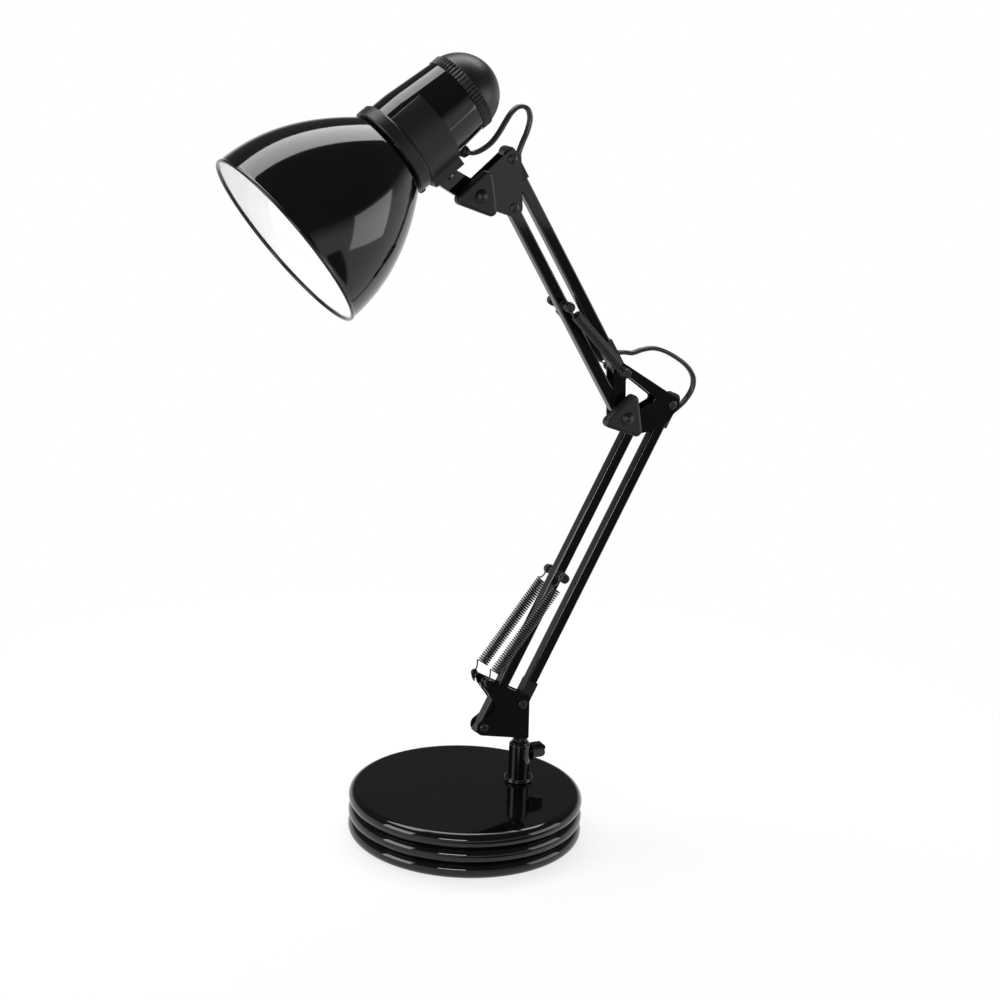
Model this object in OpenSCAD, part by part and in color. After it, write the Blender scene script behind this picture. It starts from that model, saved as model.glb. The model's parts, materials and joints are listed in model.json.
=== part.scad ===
// Architect lamp on a weighted round base: two parallelogram arms, sprung at the
// shoulder and the elbow, carry a bell shade on a tilting and swivelling head.
// The arms lie in the XZ plane, +Z is up, the shade looks towards -X, and the
// origin is the centre of the base's underside.

/* [Base] */
// Radius over the rolls of the base
base_r = 62; // [50:0.5:80]
// Radius of one roll round the rim
roll_r = 4.2; // [3:0.1:6]
// Height from one roll to the next
roll_pitch = 8.2; // [6:0.1:8.4]
// Number of rolls
rolls = 3; // [2:1:4]
// Sheet thickness of the base cover
cover_wall = 1.2; // [0.8:0.1:2]
// Height of the lowest roll above the table
cover_lift = 0.5; // [0.3:0.1:1]
// Thickness of the foam pad
pad_t = 0.8; // [0.5:0.1:1.4]
// Thickness of the closing plate
plate_t = 1.2; // [0.8:0.1:2]
// Thickness of the iron weight
weight_t = 14; // [8:0.5:17]
// Radial gap round the weight
weight_gap = 0.8; // [0.4:0.1:2]
// Radial gap round the closing plate
plate_gap = 0.3; // [0.2:0.05:1]

/* [Post] */
// Distance of the post from the middle of the base, towards the rear
post_x = 31.1; // [20:0.1:40]
// Outside radius of the post
post_r = 5.7; // [5.4:0.1:8]
// Height of the post above the base
post_h = 21.3; // [18:0.1:40]
// Radius of the foot flange
post_foot_r = 7.7; // [6.5:0.1:12]
// Thickness of the foot flange
post_foot_t = 2.4; // [1.6:0.1:4]
// Radius of the bolt that holds the post from below
post_bolt_r = 3; // [2.5:0.1:3.2]
// Radius of the bracket's spindle
spindle_r = 3.9; // [3.2:0.1:4]
// Length of the spindle inside the post
spindle_depth = 14; // [10:0.5:15]
// Running clearance on the radius of every pin and spindle
running = 0.05; // [0.02:0.01:0.1]

/* [Thumbscrew] */
// Height of the thumbscrew below the post's top
thumb_drop = 5.8; // [5:0.1:9]
// Radius of its shank
thumb_shank_r = 2; // [1.5:0.1:2.5]
// Radius of its collar
thumb_collar_r = 5; // [3.5:0.1:5.4]
// Height of the paddle
paddle_h = 7.6; // [6:0.1:10]
// Length of the paddle
paddle_l = 7.4; // [5:0.1:12]
// Thickness of the paddle
paddle_t = 3.2; // [2:0.1:4]

/* [Arms] */
// Side of the square tubes
tube_w = 6; // [5:0.1:7]
// Wall of the tubes
tube_wall = 0.8; // [0.6:0.05:0.9]
// Corner radius of the tubes
tube_corner = 0.9; // [0.5:0.05:1.2]
// Length of a tube past its end pivot
tube_end = 3.9; // [3:0.1:4.5]
// Thickness of the pivot plates
plate_wall = 0.9; // [0.7:0.05:1.4]
// Side clearance between a tube and a plate
side_gap = 0.3; // [0.25:0.05:0.5]
// Radius of the pivot screws
screw_r = 1.25; // [1:0.05:1.4]
// Extra clearance at the two pivots that close the parallelograms
closing_gap = 0.1; // [0.05:0.01:0.2]
// Pivot to pivot length of the lower tubes
lower_len = 177.3; // [140:0.1:230]
// Lean of the lower arm from upright, towards the rear
lower_lean = 27; // [15:0.1:32]
// Spacing of the lower pivots on their bracket
lower_link = 24.6; // [22:0.1:30]
// Rise of the line through the lower pivots
lower_link_tilt = 25.5; // [15:0.1:30]
// Pivot to pivot length of the upper tubes
upper_len = 129.3; // [115:0.1:180]
// Lean of the upper arm from upright, towards the front
upper_lean = 31.4; // [28:0.1:50]
// Spacing of the upper pivots
upper_link = 24.1; // [22:0.1:30]
// Angle of the line through the upper pivots from upright, towards the front
upper_link_tilt = 4.8; // [0:0.1:5.5]

/* [Lower bracket] */
// First lower pivot, measured from the post's axis towards the front
bracket_reach = 23.7; // [22:0.1:30]
// First lower pivot, above the post's top
bracket_rise = 12.9; // [11:0.1:16]
// Radius of the plate round that pivot
bracket_lobe_r = 4.2; // [3.6:0.1:4.6]
// Height of the plates above the post's top
bracket_h = 36; // [34:0.1:40]
// Height of the plates' lower edge above the post's top
bracket_lift = 4.4; // [3.8:0.1:5]
// Distance of the spring claw above the first pivot
claw_rise = 26.8; // [25:0.1:30]

/* [Elbow] */
// Lower front pivot to elbow bolt, towards the front
elbow_back = 7.9; // [7.5:0.1:10]
// Lower front pivot to elbow bolt, upwards
elbow_up = 6.7; // [6.5:0.1:10]
// Radius of the plate round its pivots
elbow_lobe_r = 4.3; // [3.6:0.1:5]
// Half width of the elbow plate's struts
strut_r = 3.4; // [3:0.1:4]
// Radius of the clamping bolts
clamp_bolt_r = 2; // [1.6:0.1:2.2]

/* [Knobs] */
// Reach of the knob's three lobes
knob_r = 12.6; // [10:0.1:13]
// Radius of a lobe's tip
knob_tip_r = 3; // [2.5:0.1:4]
// Depth of a knob
knob_t = 5.4; // [4.4:0.1:6]
// Radius of the dome on a knob
knob_dome_r = 3.65; // [2.5:0.05:5]
// Turn of the knobs' first lobe from the front-to-rear line
knob_turn = 70; // [60:1:80]

/* [Springs] */
// Lower spring pin, along its tube from the lower pivot
lower_pin_at = 90; // [80:0.5:100]
// Upper spring pin, along its tube from the elbow bolt
upper_pin_at = 70.5; // [60:0.5:75]
// Outside diameter of the lower springs
coil_od = 6.4; // [5:0.1:7]
// Wire diameter
wire_d = 0.8; // [0.6:0.05:0.85]
// Number of curls in one lower spring
coil_turns = 42; // [20:1:42]
// Straight length at each end of the curls
coil_end = 6.8; // [6:0.1:9]
// Distance of the lower springs from the arm's middle plane
lower_spring_y = 8; // [7.8:0.1:9]
// Distance of the upper springs from the arm's middle plane
upper_spring_y = 9; // [8.6:0.1:10]
// Outside diameter of the sleeves on the upper springs
sleeve_d = 5.8; // [5:0.1:6.4]
// Bare wire at each end of a sleeve
sleeve_end = 6; // [5:0.1:9]
// Radius of the cross pins
pin_r = 1.6; // [1.3:0.05:1.8]
// Radius of the knobs on the cross pins
pin_knob_r = 2.5; // [2.2:0.05:3]
// Radius of the flanges on the cross pins
pin_flange_r = 2.8; // [2.2:0.05:2.9]

/* [Head bracket] */
// Upper front pivot to tilt bolt, towards the front
head_reach = 21.4; // [20:0.1:28]
// Upper front pivot to tilt bolt, upwards
head_rise = 7.3; // [5:0.1:9]
// Radius of the plates round their pivots
head_lobe_r = 4.6; // [3.6:0.1:5]

/* [Head] */
// Tilt of the head's axis above level
head_aim = 37.85; // [30:0.05:45]
// Mouth of the shade to the tilt bolt, along the head's axis
tilt_s = 89.8; // [88:0.1:92]
// Head's axis to the tilt bolt, square to the axis
tilt_d = 43.5; // [43:0.1:48]
// Radius of the shade's mouth
mouth_r = 48.6; // [44:0.1:56]
// Radius of the shade's neck
neck_r = 22.5; // [22:0.1:23]
// Length of the shade
shade_l = 66; // [60:0.1:66.2]
// Exponent of the bell curve
shade_curve = 2.1; // [1.6:0.05:2.6]
// Sheet thickness of the shade
shade_wall = 0.8; // [0.6:0.05:1.2]
// Radius of the rolled bead round the mouth
bead_r = 0.9; // [0.6:0.05:1.2]
// Radius of the housing at its front
housing_front_r = 22.3; // [21.9:0.1:22.5]
// Radius of the housing at its rear
housing_rear_r = 20; // [19.4:0.1:21]
// Length of the housing
housing_l = 43.7; // [42:0.1:46]
// Wall of the housing
housing_wall = 1.2; // [1:0.1:1.4]
// Opening in the neck for the bulb
neck_hole_r = 17.8; // [17.4:0.1:18.5]
// Outside radius of the collar ring
ring_r = 24; // [23.4:0.1:26]
// Width of the collar ring
ring_w = 6.6; // [5:0.1:6.8]
// Length of the saddle along the head
saddle_l = 18; // [15:0.1:18.5]
// Thickness of the saddle round the housing
saddle_wall = 1; // [0.8:0.1:1.4]
// Distance of the saddle's flat from the head's axis
saddle_flat = 24.6; // [24.3:0.1:26]
// Half width of the saddle's flat
saddle_half_w = 12; // [9:0.1:13]
// Radius of the rear dome
dome_r = 20; // [19:0.1:21]
// Number of ribs round the dome's rim
dome_ribs = 64; // [40:1:80]

/* [Bulb] */
// Radius of the bulb's globe
globe_r = 30; // [28:0.5:31]
// Length of the bulb
bulb_l = 109; // [107:0.5:110]
// Radius of the bulb's cap
cap_r = 13.1; // [12.9:0.05:13.2]
// Thickness of the glass
glass_t = 0.9; // [0.6:0.1:1.2]

/* [Flex] */
// Width of the flat twin flex
flex_w = 3.8; // [3:0.1:3.9]
// Thickness of the flex
flex_t = 2.2; // [1.8:0.1:2.3]
// Clearance round the flex in its guides
flex_gap = 0.25; // [0.1:0.05:0.3]
// Reach of a flex guide past its pivot
guide_end = 6.3; // [5:0.1:6.6]
// Length of the tongues that hold a guide in its tube
guide_tongue_l = 6; // [4:0.5:12]

/* [Hidden] */
$fn = 72;
black = "#101011";
matt_black = "#1c1c1e";
steel = "#8d8f93";
iron = "#3c3c3f";
brass = "#b8923a";
white = "#f2f2ee";

// Base heights
roll_low = cover_lift + roll_r;
roll_centre_r = base_r - roll_r;
base_h = roll_low + (rolls - 1) * roll_pitch + roll_r;
under_cover = base_h - cover_wall;
weight_r = roll_centre_r - weight_gap;
weight_low = under_cover - weight_t;
plate_r = roll_centre_r - plate_gap;
bolt_head_h = 3.6;
bolt_head_r = 5.6;
bolt_recess = bolt_head_r + 0.8;

// Post
post_top = base_h + post_h;
spindle_low = post_top - spindle_depth;
thread_top = spindle_low - 1.2;
thumb_z = post_top - thumb_drop;
thumb_out = post_x + post_r + 0.5;

// Across the arm, measured from its middle plane
tube_half = tube_w / 2;
plate_in = tube_half + side_gap;
plate_out = plate_in + plate_wall;
screw_head_h = 1;
screw_head_r = 2.4;
nut_r = 2.9;
nut_h = 2;

// Linkage pivots as [x, z] in the arm's plane
function along(angle, length) = [length * sin(angle), length * cos(angle)];
lower_dir = along(lower_lean, 1);
upper_dir = along(-upper_lean, 1);
lower_side = [lower_dir[1], -lower_dir[0]];
upper_side = [upper_dir[1], -upper_dir[0]];
lower_step = along(90 - lower_link_tilt, lower_link);
upper_step = along(-upper_link_tilt, upper_link);
shoulder_front = [post_x - bracket_reach, post_top + bracket_rise];
shoulder_rear = shoulder_front + lower_step;
elbow_front = shoulder_front + lower_len * lower_dir;
elbow_rear = elbow_front + lower_step;
elbow_clamp = elbow_front + [-elbow_back, elbow_up];
elbow_top = elbow_clamp + upper_step;
head_front = elbow_clamp + upper_len * upper_dir;
head_rear = head_front + upper_step;
tilt_pivot = head_front + [-head_reach, head_rise];
head_a = [cos(head_aim), sin(head_aim)];
head_d = [sin(head_aim), -cos(head_aim)];
mouth = tilt_pivot - tilt_s * head_a - tilt_d * head_d;

// Springs
claw = shoulder_front + [-0.6, claw_rise];
claw_r = 1.2;
peg_y = lower_spring_y + 0.5 * wire_d + 0.35;
peg_lip_t = 0.8;
lower_pin = shoulder_front + lower_pin_at * lower_dir;
upper_pin = elbow_clamp + upper_pin_at * upper_dir;
pin_flange_t = 1;
pin_knob_t = 2.4;
loop_gap = 0.35;

// Clamps
washer_t = 1.4;
knob_back = plate_out + washer_t;
knob_front = knob_back + knob_t;
knob_lobes = [for (turn = [0, 120, 240]) knob_turn + turn];

// Head, measured along its axis from the mouth
housing_s = shade_l + 0.3;
housing_end = housing_s + housing_l;
ring_s = housing_s + 0.3;
saddle_s = ring_s + ring_w + 0.3;
saddle_in = housing_front_r + 0.1;
taper_s = saddle_s + 0.5 * saddle_l;
saddle_r = saddle_in + saddle_wall;
stem_s = saddle_s + 0.55 * saddle_l;
stem_collar_r = 5.4;
stem_half = tube_half;
stem_end_r = 5.8;
stud_r = 2.5;
swivel_nut_r = 4.6;
housing_in = housing_front_r - housing_wall;
nut_seat = sqrt(pow(housing_in, 2) - pow(swivel_nut_r, 2)) - side_gap;
holder_r = 16.5;
holder_s = 80;
holder_end = 111.4;
flange_s = stem_s + swivel_nut_r + 1.8;
flange_r = housing_in - (flange_s + 2 - taper_s) / (housing_end - taper_s) * (housing_front_r - housing_rear_r) - 0.3;
shell_t = 0.4;
cap_gap = 0.25;
dome_s = housing_end + 0.4;
dome_rim_w = 5.2;
rib_h = 0.5;
switch_r = 9;
switch_l = 7;
switch_stem_r = 3;

// Flex
flex_half_w = flex_w / 2;
flex_half_t = flex_t / 2;
flex_lift = 1;
// Clearance from the gland's mouth to the flex, which doesn't turn with the head
gland_clear = 0.4;
guide_low = -tube_half;
guide_high = tube_half + 0.9;
guide_run = 9;
shoulder_entry = 4;
elbow_entry = 3.8;
knee_entry = 8.2;
wrist_entry = 3.8;
gland_lean = 37;
gland_r = 2.9;
gland_l = 7;
gland_s = 95.4;
gland_d = 20.4;
gland_neck = 0.9;

// Free flex at the elbow, from the upper tube's guide to the lower tube's guide
elbow_route = [
    [81.6, 257], [86.4, 256.4], [92.2, 257.8], [98.8, 258.2], [105.8, 256.2], [113, 252.4],
    [119.4, 247.8], [123.4, 242.8], [124.4, 238.4], [123.4, 234], [120.4, 229.6], [116.8, 226.2]
];
// Free flex at the head, from the gland to the upper tube's guide
head_route = [
    [-8.2, 361.6], [-4, 363.2], [0.6, 366.4], [4.4, 371], [7.8, 376.4], [10.8, 380.8],
    [14, 383.4], [17.4, 383.8], [20.2, 381.8], [21.2, 377.4], [19.8, 371.4], [17.4, 365.8],
    [15.8, 361]
];
// Where the free flex passes from one moving part to the next, counted in route points
elbow_split = 6;
head_split_a = 3;
head_split_b = 7;

// Plane of the arm

// A solid drawn in the arm's plane, between two distances from that plane
module across(low, high) {
    translate([0, high, 0]) rotate([90, 0, 0]) linear_extrude(high - low) children();
}

// The same on one side only: side is -1 near, 1 far
module beside(side, inner, outer) {
    if (side < 0) across(-outer, -inner) children();
    else across(inner, outer) children();
}

// A round pin or hole across the arm at a point
module crosswise(point, radius, low, high) {
    translate([point[0], high, point[1]]) rotate([90, 0, 0]) cylinder(h = high - low, r = radius);
}

// Two circles and the strip that is tangent to both
module strap(a, b, ra, rb) {
    run = b - a;
    dist = norm(run);
    aim = atan2(run[1], run[0]);
    spread = acos((ra - rb) / dist);
    up = [cos(aim + spread), sin(aim + spread)];
    down = [cos(aim - spread), sin(aim - spread)];
    translate(a) circle(ra);
    translate(b) circle(rb);
    polygon([a + ra * up, b + rb * up, b + rb * down, a + ra * down]);
}

// A plate with its own radius at each corner: corners are [x, z, radius]
module lobed(corners) {
    count = len(corners);
    polygon([for (c = corners) [c[0], c[1]]]);
    for (i = [0:count - 1]) {
        a = corners[i];
        b = corners[(i + 1) % count];
        strap([a[0], a[1]], [b[0], b[1]], a[2], b[2]);
    }
}

// A pressed plate's outline: one piece, with its inner corners filleted
module pressed(fillet) {
    offset(r = -fillet) offset(r = fillet) children();
}

// A square tube along a line between two pivots, from one place on it to another
module tube(pivot, lean, from, to) {
    difference() {
        translate([pivot[0], 0, pivot[1]]) rotate([0, lean, 0]) translate([0, 0, from])
            linear_extrude(to - from) difference() {
                rounded_square(tube_w, tube_corner);
                square(tube_w - 2 * tube_wall, center = true);
            }
        children();
    }
}

// A square with round corners, centred
module rounded_square(size, corner) {
    inner = size / 2 - corner;
    square([size, 2 * inner], center = true);
    square([2 * inner, size], center = true);
    for (x = [-inner, inner], y = [-inner, inner]) translate([x, y]) circle(corner, $fn = 24);
}

// A pivot screw with its head on the near side
module pivot_screw(point) {
    crosswise(point, screw_r, -plate_out, plate_out + nut_h + 0.6);
    translate([point[0], -plate_out, point[1]]) rotate([90, 0, 0]) {
        cylinder(h = 0.5 * screw_head_h, r = screw_head_r);
        translate([0, 0, 0.5 * screw_head_h])
            cylinder(h = 0.5 * screw_head_h, r1 = screw_head_r, r2 = 0.62 * screw_head_r);
    }
}

// A hexagon nut on the far side
module pivot_nut(point) {
    translate([point[0], plate_out + nut_h, point[1]]) rotate([90, 0, 0]) difference() {
        cylinder(h = nut_h, r = nut_r, $fn = 6);
        translate([0, 0, -1]) cylinder(h = nut_h + 2, r = screw_r + running);
    }
}

// Swept tubes

function unit(v) = v / norm(v);
function tangents(path) = [
    for (i = [0:len(path) - 1]) unit(path[min(i + 1, len(path) - 1)] - path[max(i - 1, 0)])
];
function squared(v, t) = unit(v - (v * t) * t);
// Carries a first side vector along a path with the least twist
function carried(t, first) = [
    for (i = 0, n = squared(first, t[0]); i < len(t);
         n = squared(n, t[min(i + 1, len(t) - 1)]), i = i + 1) n
];
// Triangles between rings, with fans over the two ends
function ring_faces(rings, sides) = concat(
    [for (i = [0:rings - 2], k = [0:sides - 1], half = [0, 1])
        let (a = i * sides + k, b = i * sides + (k + 1) % sides)
        half == 0 ? [a, b, b + sides] : [a, b + sides, a + sides]],
    [for (k = [1:sides - 2]) [0, k + 1, k]],
    [for (k = [1:sides - 2]) [(rings - 1) * sides, (rings - 1) * sides + k, (rings - 1) * sides + k + 1]]
);

// A tube of oval section along a path: wide is its half size along the side vector
module swept(path, side, wide, thick, sides) {
    t = tangents(path);
    n = carried(t, side);
    points = [
        for (i = [0:len(path) - 1], k = [0:sides - 1])
            let (angle = 360 * (k + 0.5) / sides)
            path[i] + wide * cos(angle) * n[i] + thick * sin(angle) * cross(t[i], n[i])
    ];
    polyhedron(points, ring_faces(len(path), sides));
}

function in_plane(p, y = 0) = [p[0], y, p[1]];
// A smooth curve through points by the Catmull-Rom rule
function smooth_at(p, i, u) =
    let (a = p[max(i - 1, 0)], b = p[i], c = p[i + 1], d = p[min(i + 2, len(p) - 1)])
    0.5 * (2 * b + (c - a) * u + (2 * a - 5 * b + 4 * c - d) * u * u
        + (3 * b - a - 3 * c + d) * u * u * u);
function smooth_path(p, steps) = concat(
    [for (i = [0:len(p) - 2], k = [0:steps - 1]) smooth_at(p, i, k / steps)],
    [p[len(p) - 1]]
);
// A stretch of the flex, between two points of its whole route
module flex(first, last) {
    step = flex_steps;
    path = [for (i = [first * step:last * step]) in_plane(flex_path[i])];
    lead = [for (i = [first * step:last * step]) in_plane(flex_tangents[i])];
    points = [
        for (i = [0:len(path) - 1], k = [0:7])
            let (angle = 45 * (k + 0.5))
            path[i] + flex_half_w * cos(angle) * [0, 1, 0] + flex_half_t * sin(angle) * cross(lead[i], [0, 1, 0])
    ];
    color(matt_black) polyhedron(points, ring_faces(len(path), 8));
}

// Route of the flex inside a guide, from its mouth to the middle of the tube:
// places along the tube from the pivot and out from its axis
function guide_route(entry) = [
    [entry, tube_half + flex_lift], [entry + 3.2, 1.9], [entry + 6.6, 0.45], [entry + 10, 0]
];
function on_tube(pivot, dir, side, p) = pivot + p[0] * dir + p[1] * side;
function guide_points(pivot, dir, side, entry) = [
    for (p = guide_route(entry)) on_tube(pivot, dir, side, p)
];
function turned(list) = [for (i = [len(list) - 1:-1:0]) list[i]];

// A flex guide: the moulded end of a rear tube, with its pivot hole, its channel for the
// flex and the two tongues that hold it in the tube. along is the pivot's tube direction.
module flex_guide(pivot, along_tube, side, entry) {
    mid = 0.5 * (guide_low + guide_high);
    end_r = 0.5 * (guide_high - guide_low);
    shoulder = entry + guide_run;
    tongue_half = tube_half - tube_wall - 0.05;
    slot_half = flex_half_t + flex_gap;
    frame = [pivot, along_tube, side];
    channel = concat([[entry - 2.4, tube_half + flex_lift + 1.6]], guide_route(entry),
        [[shoulder + guide_tongue_l + 1, 0]]);
    lead = tangents(channel);
    left = [for (i = [0:len(channel) - 1]) channel[i] + slot_half * [-lead[i][1], lead[i][0]]];
    right = [for (i = [0:len(channel) - 1]) channel[i] - slot_half * [-lead[i][1], lead[i][0]]];
    difference() {
        union() {
            across(-tube_half, tube_half) {
                guide_polygon(frame, [[-guide_end + end_r, guide_low], [shoulder, guide_low],
                    [shoulder, guide_high], [-guide_end + end_r, guide_high]]);
                translate(on_tube(pivot, along_tube, side, [-guide_end + end_r, mid])) circle(end_r);
            }
            across(-tongue_half, tongue_half) guide_polygon(frame, [[shoulder - 1, -tongue_half],
                [shoulder + guide_tongue_l, -tongue_half], [shoulder + guide_tongue_l, tongue_half],
                [shoulder - 1, tongue_half]]);
        }
        across(-flex_half_w - flex_gap, flex_half_w + flex_gap) guide_polygon(frame, concat(left, turned(right)));
        across(-tube_w, tube_w) guide_polygon(frame, [[shoulder + 0.01, -slot_half],
            [shoulder + tube_w + 5, -slot_half], [shoulder + tube_w + 5, slot_half], [shoulder + 0.01, slot_half]]);
        crosswise(pivot, screw_r + running, -tube_w, tube_w);
    }
}

module guide_polygon(frame, outline) {
    polygon([for (p = outline) on_tube(frame[0], frame[1], frame[2], p)]);
}

// Base

module base_cover() {
    color(black) difference() {
        union() {
            cylinder(h = base_h, r = roll_centre_r);
            for (i = [0:rolls - 1]) translate([0, 0, roll_low + i * roll_pitch])
                rotate_extrude($fn = 144) translate([roll_centre_r, 0]) circle(roll_r, $fn = 48);
        }
        translate([0, 0, -1]) cylinder(h = under_cover + 1, r = roll_centre_r);
        for (i = [0:rolls - 1]) translate([0, 0, roll_low + i * roll_pitch])
            rotate_extrude($fn = 144) translate([roll_centre_r, 0]) circle(roll_r - cover_wall, $fn = 48);
        translate([post_x, 0, 0]) cylinder(h = 2 * base_h, r = post_bolt_r + running);
    }
}

module base_weight() {
    color(iron) translate([0, 0, weight_low]) difference() {
        cylinder(h = weight_t, r = weight_r);
        translate([post_x, 0, -1]) cylinder(h = weight_t + 2, r = post_bolt_r + running);
        translate([post_x, 0, -1]) cylinder(h = bolt_head_h + 1.4, r = bolt_recess);
    }
}

module base_plate() {
    color(steel) translate([0, 0, pad_t]) cylinder(h = plate_t, r = plate_r);
}

module base_pad() {
    color(matt_black) cylinder(h = pad_t, r = plate_r - 1);
}

module post_bolt() {
    seat = weight_low + bolt_head_h + 0.4;
    color(steel) translate([post_x, 0, 0]) {
        translate([0, 0, seat]) cylinder(h = thread_top - 0.6 - seat, r = post_bolt_r);
        translate([0, 0, seat - bolt_head_h]) cylinder(h = bolt_head_h, r = bolt_head_r, $fn = 6);
    }
}

module post() {
    bead = 0.7;
    color(black) translate([post_x, 0, base_h]) difference() {
        union() {
            cylinder(h = post_foot_t, r = post_foot_r - bead);
            for (z = [bead, post_foot_t - bead]) translate([0, 0, z])
                rotate_extrude() translate([post_foot_r - bead, 0]) circle(bead, $fn = 24);
            cylinder(h = post_h - bead, r = post_r);
            translate([0, 0, post_h - bead]) {
                cylinder(h = bead, r = post_r - bead);
                rotate_extrude() translate([post_r - bead, 0]) circle(bead, $fn = 24);
            }
        }
        translate([0, 0, spindle_low - base_h]) cylinder(h = spindle_depth + 1, r = spindle_r + running);
        translate([0, 0, -1]) cylinder(h = thread_top - base_h + 1, r = post_bolt_r + running);
        translate([0, 0, thumb_z - base_h]) rotate([0, 90, 0])
            cylinder(h = post_r + 1, r = thumb_shank_r + running);
    }
}

module thumbscrew() {
    shank_l = thumb_out - post_x - spindle_r - 0.3;
    color(black) translate([thumb_out, 0, thumb_z]) {
        rotate([0, 90, 0]) {
            translate([0, 0, -shank_l]) cylinder(h = shank_l, r = thumb_shank_r);
            cylinder(h = 1, r1 = thumb_collar_r, r2 = thumb_collar_r - 1.2);
        }
        translate([1, 0, 0]) across(-paddle_t / 2, paddle_t / 2) {
            square([paddle_l - 2, 4.4], center = false);
            translate([0, -3]) square([paddle_l - 3, 5]);
            strap([2, 0.5 * paddle_h - 2], [paddle_l - 2, 0.5 * paddle_h - 2.4], 2, 2.2);
            strap([2, 2 - 0.5 * paddle_h], [paddle_l - 2, 2.4 - 0.5 * paddle_h], 1.8, 2.2);
        }
    }
}

// Lower bracket and shoulder pivots

module swivel_spindle() {
    tongue_w = 6.2;
    color(black) translate([post_x, 0, 0]) {
        translate([0, 0, spindle_low + 0.4]) cylinder(h = post_top + 3 - spindle_low, r = spindle_r);
        translate([0, 0, post_top + 0.3]) cylinder(h = 1.6, r1 = spindle_r + 1.2, r2 = spindle_r);
        translate([-tongue_w / 2 - 0.6, -plate_in, post_top + 3])
            cube([tongue_w, 2 * plate_in, bracket_rise - 0.8]);
    }
}

module lower_bracket(side) {
    top_front = shoulder_front + [6.6, 23.6];
    top_rear = shoulder_rear + [3.2, 3.4];
    low_rear = [post_x + 2.2, post_top + bracket_lift];
    ear = claw + [0.6, -2.6];
    flange_low = claw + [0.4, 0.2];
    flange_high = claw + [10.4, -4.7];
    lip = claw + [-2.6, -0.9];
    fold = plate_out - 0.2;
    color(black) {
        difference() {
            beside(side, plate_in, plate_out) pressed(1.5) {
                lobed([
                    [shoulder_front[0], shoulder_front[1], bracket_lobe_r],
                    [low_rear[0], low_rear[1], 0.8],
                    [top_rear[0], top_rear[1], 0.8],
                    [top_front[0], top_front[1], 0.8],
                    [top_front[0] + 0.2, top_front[1] - 15, 0.8]
                ]);
                // Ear that carries the spring claw
                lobed([
                    [top_front[0] + 5, top_front[1] - 2.6, 0.8],
                    [top_front[0] + 0.4, top_front[1] - 10.6, 0.8],
                    [ear[0], ear[1], 1.6],
                    [claw[0], claw[1], 1.6]
                ]);
            }
            for (p = [shoulder_front, shoulder_rear]) crosswise(p, screw_r + running, -plate_out - 1, plate_out + 1);
        }
        // Flange bent outwards along the top of the ear
        beside(side, fold, plate_out + 1.8) pressed(0.2) {
            strap(flange_low, flange_high, 0.45, 0.45);
            // Curled lip round the peg that the spring loop hooks on
            strap(flange_low, lip, 0.6, 0.5);
            strap(lip, claw + [-2.1, -2.4], 0.5, 0.4);
        }
        beside(side, fold, peg_y + peg_lip_t) translate(claw) circle(claw_r);
        beside(side, peg_y, peg_y + peg_lip_t) translate(claw) circle(claw_r + 0.7);
        // Rivet that stops the rear tube
        rivet = shoulder_rear + [-3.2, 3.6];
        beside(side, fold, plate_out + 0.6) translate(rivet) circle(1.3);
    }
}

module lower_bracket_near() { lower_bracket(-1); }
module lower_bracket_far() { lower_bracket(1); }

module shoulder_screws() {
    color(steel) for (p = [shoulder_front, shoulder_rear]) pivot_screw(p);
}

module shoulder_nuts() {
    color(steel) for (p = [shoulder_front, shoulder_rear]) pivot_nut(p);
}

// Lower arm

module lower_front_tube() {
    color(black) tube(shoulder_front, lower_lean, -tube_end, lower_len + tube_end) {
        crosswise(shoulder_front, screw_r + running, -tube_w, tube_w);
        crosswise(elbow_front, screw_r + running + closing_gap, -tube_w, tube_w);
        crosswise(lower_pin, pin_r + running, -tube_w, tube_w);
    }
}

module lower_rear_tube() {
    color(black) tube(shoulder_rear, lower_lean, shoulder_entry + guide_run,
        lower_len - elbow_entry - guide_run);
}

module lower_flex_guides() {
    color(matt_black) {
        flex_guide(shoulder_rear, lower_dir, lower_side, shoulder_entry);
        flex_guide(elbow_rear, -lower_dir, lower_side, elbow_entry);
    }
}

// A cross pin through a tube, with a flange and a knob on each side
module spring_pin(point, loop_y) {
    knob_y = loop_y + 0.5 * wire_d + loop_gap;
    color(matt_black) {
        crosswise(point, pin_r, -knob_y, knob_y);
        for (side = [-1, 1]) {
            beside(side, tube_half, tube_half + pin_flange_t) translate(point) circle(pin_flange_r);
            beside(side, knob_y, knob_y + pin_knob_t - 0.7) translate(point) circle(pin_knob_r);
            translate([point[0], side * (knob_y + pin_knob_t - 0.7), point[1]]) rotate([-90 * side, 0, 0])
                cylinder(h = 0.7, r1 = pin_knob_r, r2 = pin_knob_r - 0.8);
        }
    }
}

module lower_spring_pin() { spring_pin(lower_pin, lower_spring_y); }

// Lower spring, drawn along its own axis: w runs from the claw to the pin
coil_mean_r = (coil_od - wire_d) / 2;
spring_run = lower_pin - claw;
spring_l = norm(spring_run);
coil_l = spring_l - 2 * coil_end;
coil_pitch = coil_l / coil_turns;
rings_per_turn = 8;
pin_loop_r = pin_r + 0.5 * wire_d + loop_gap;
claw_loop_r = claw_r + 0.5 * wire_d + loop_gap;

function coil_points() = [
    for (i = [0:coil_turns * rings_per_turn])
        let (a = 360 * i / rings_per_turn)
        [coil_end + coil_pitch * i / rings_per_turn, coil_mean_r * cos(a), coil_mean_r * sin(a)]
];
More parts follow.
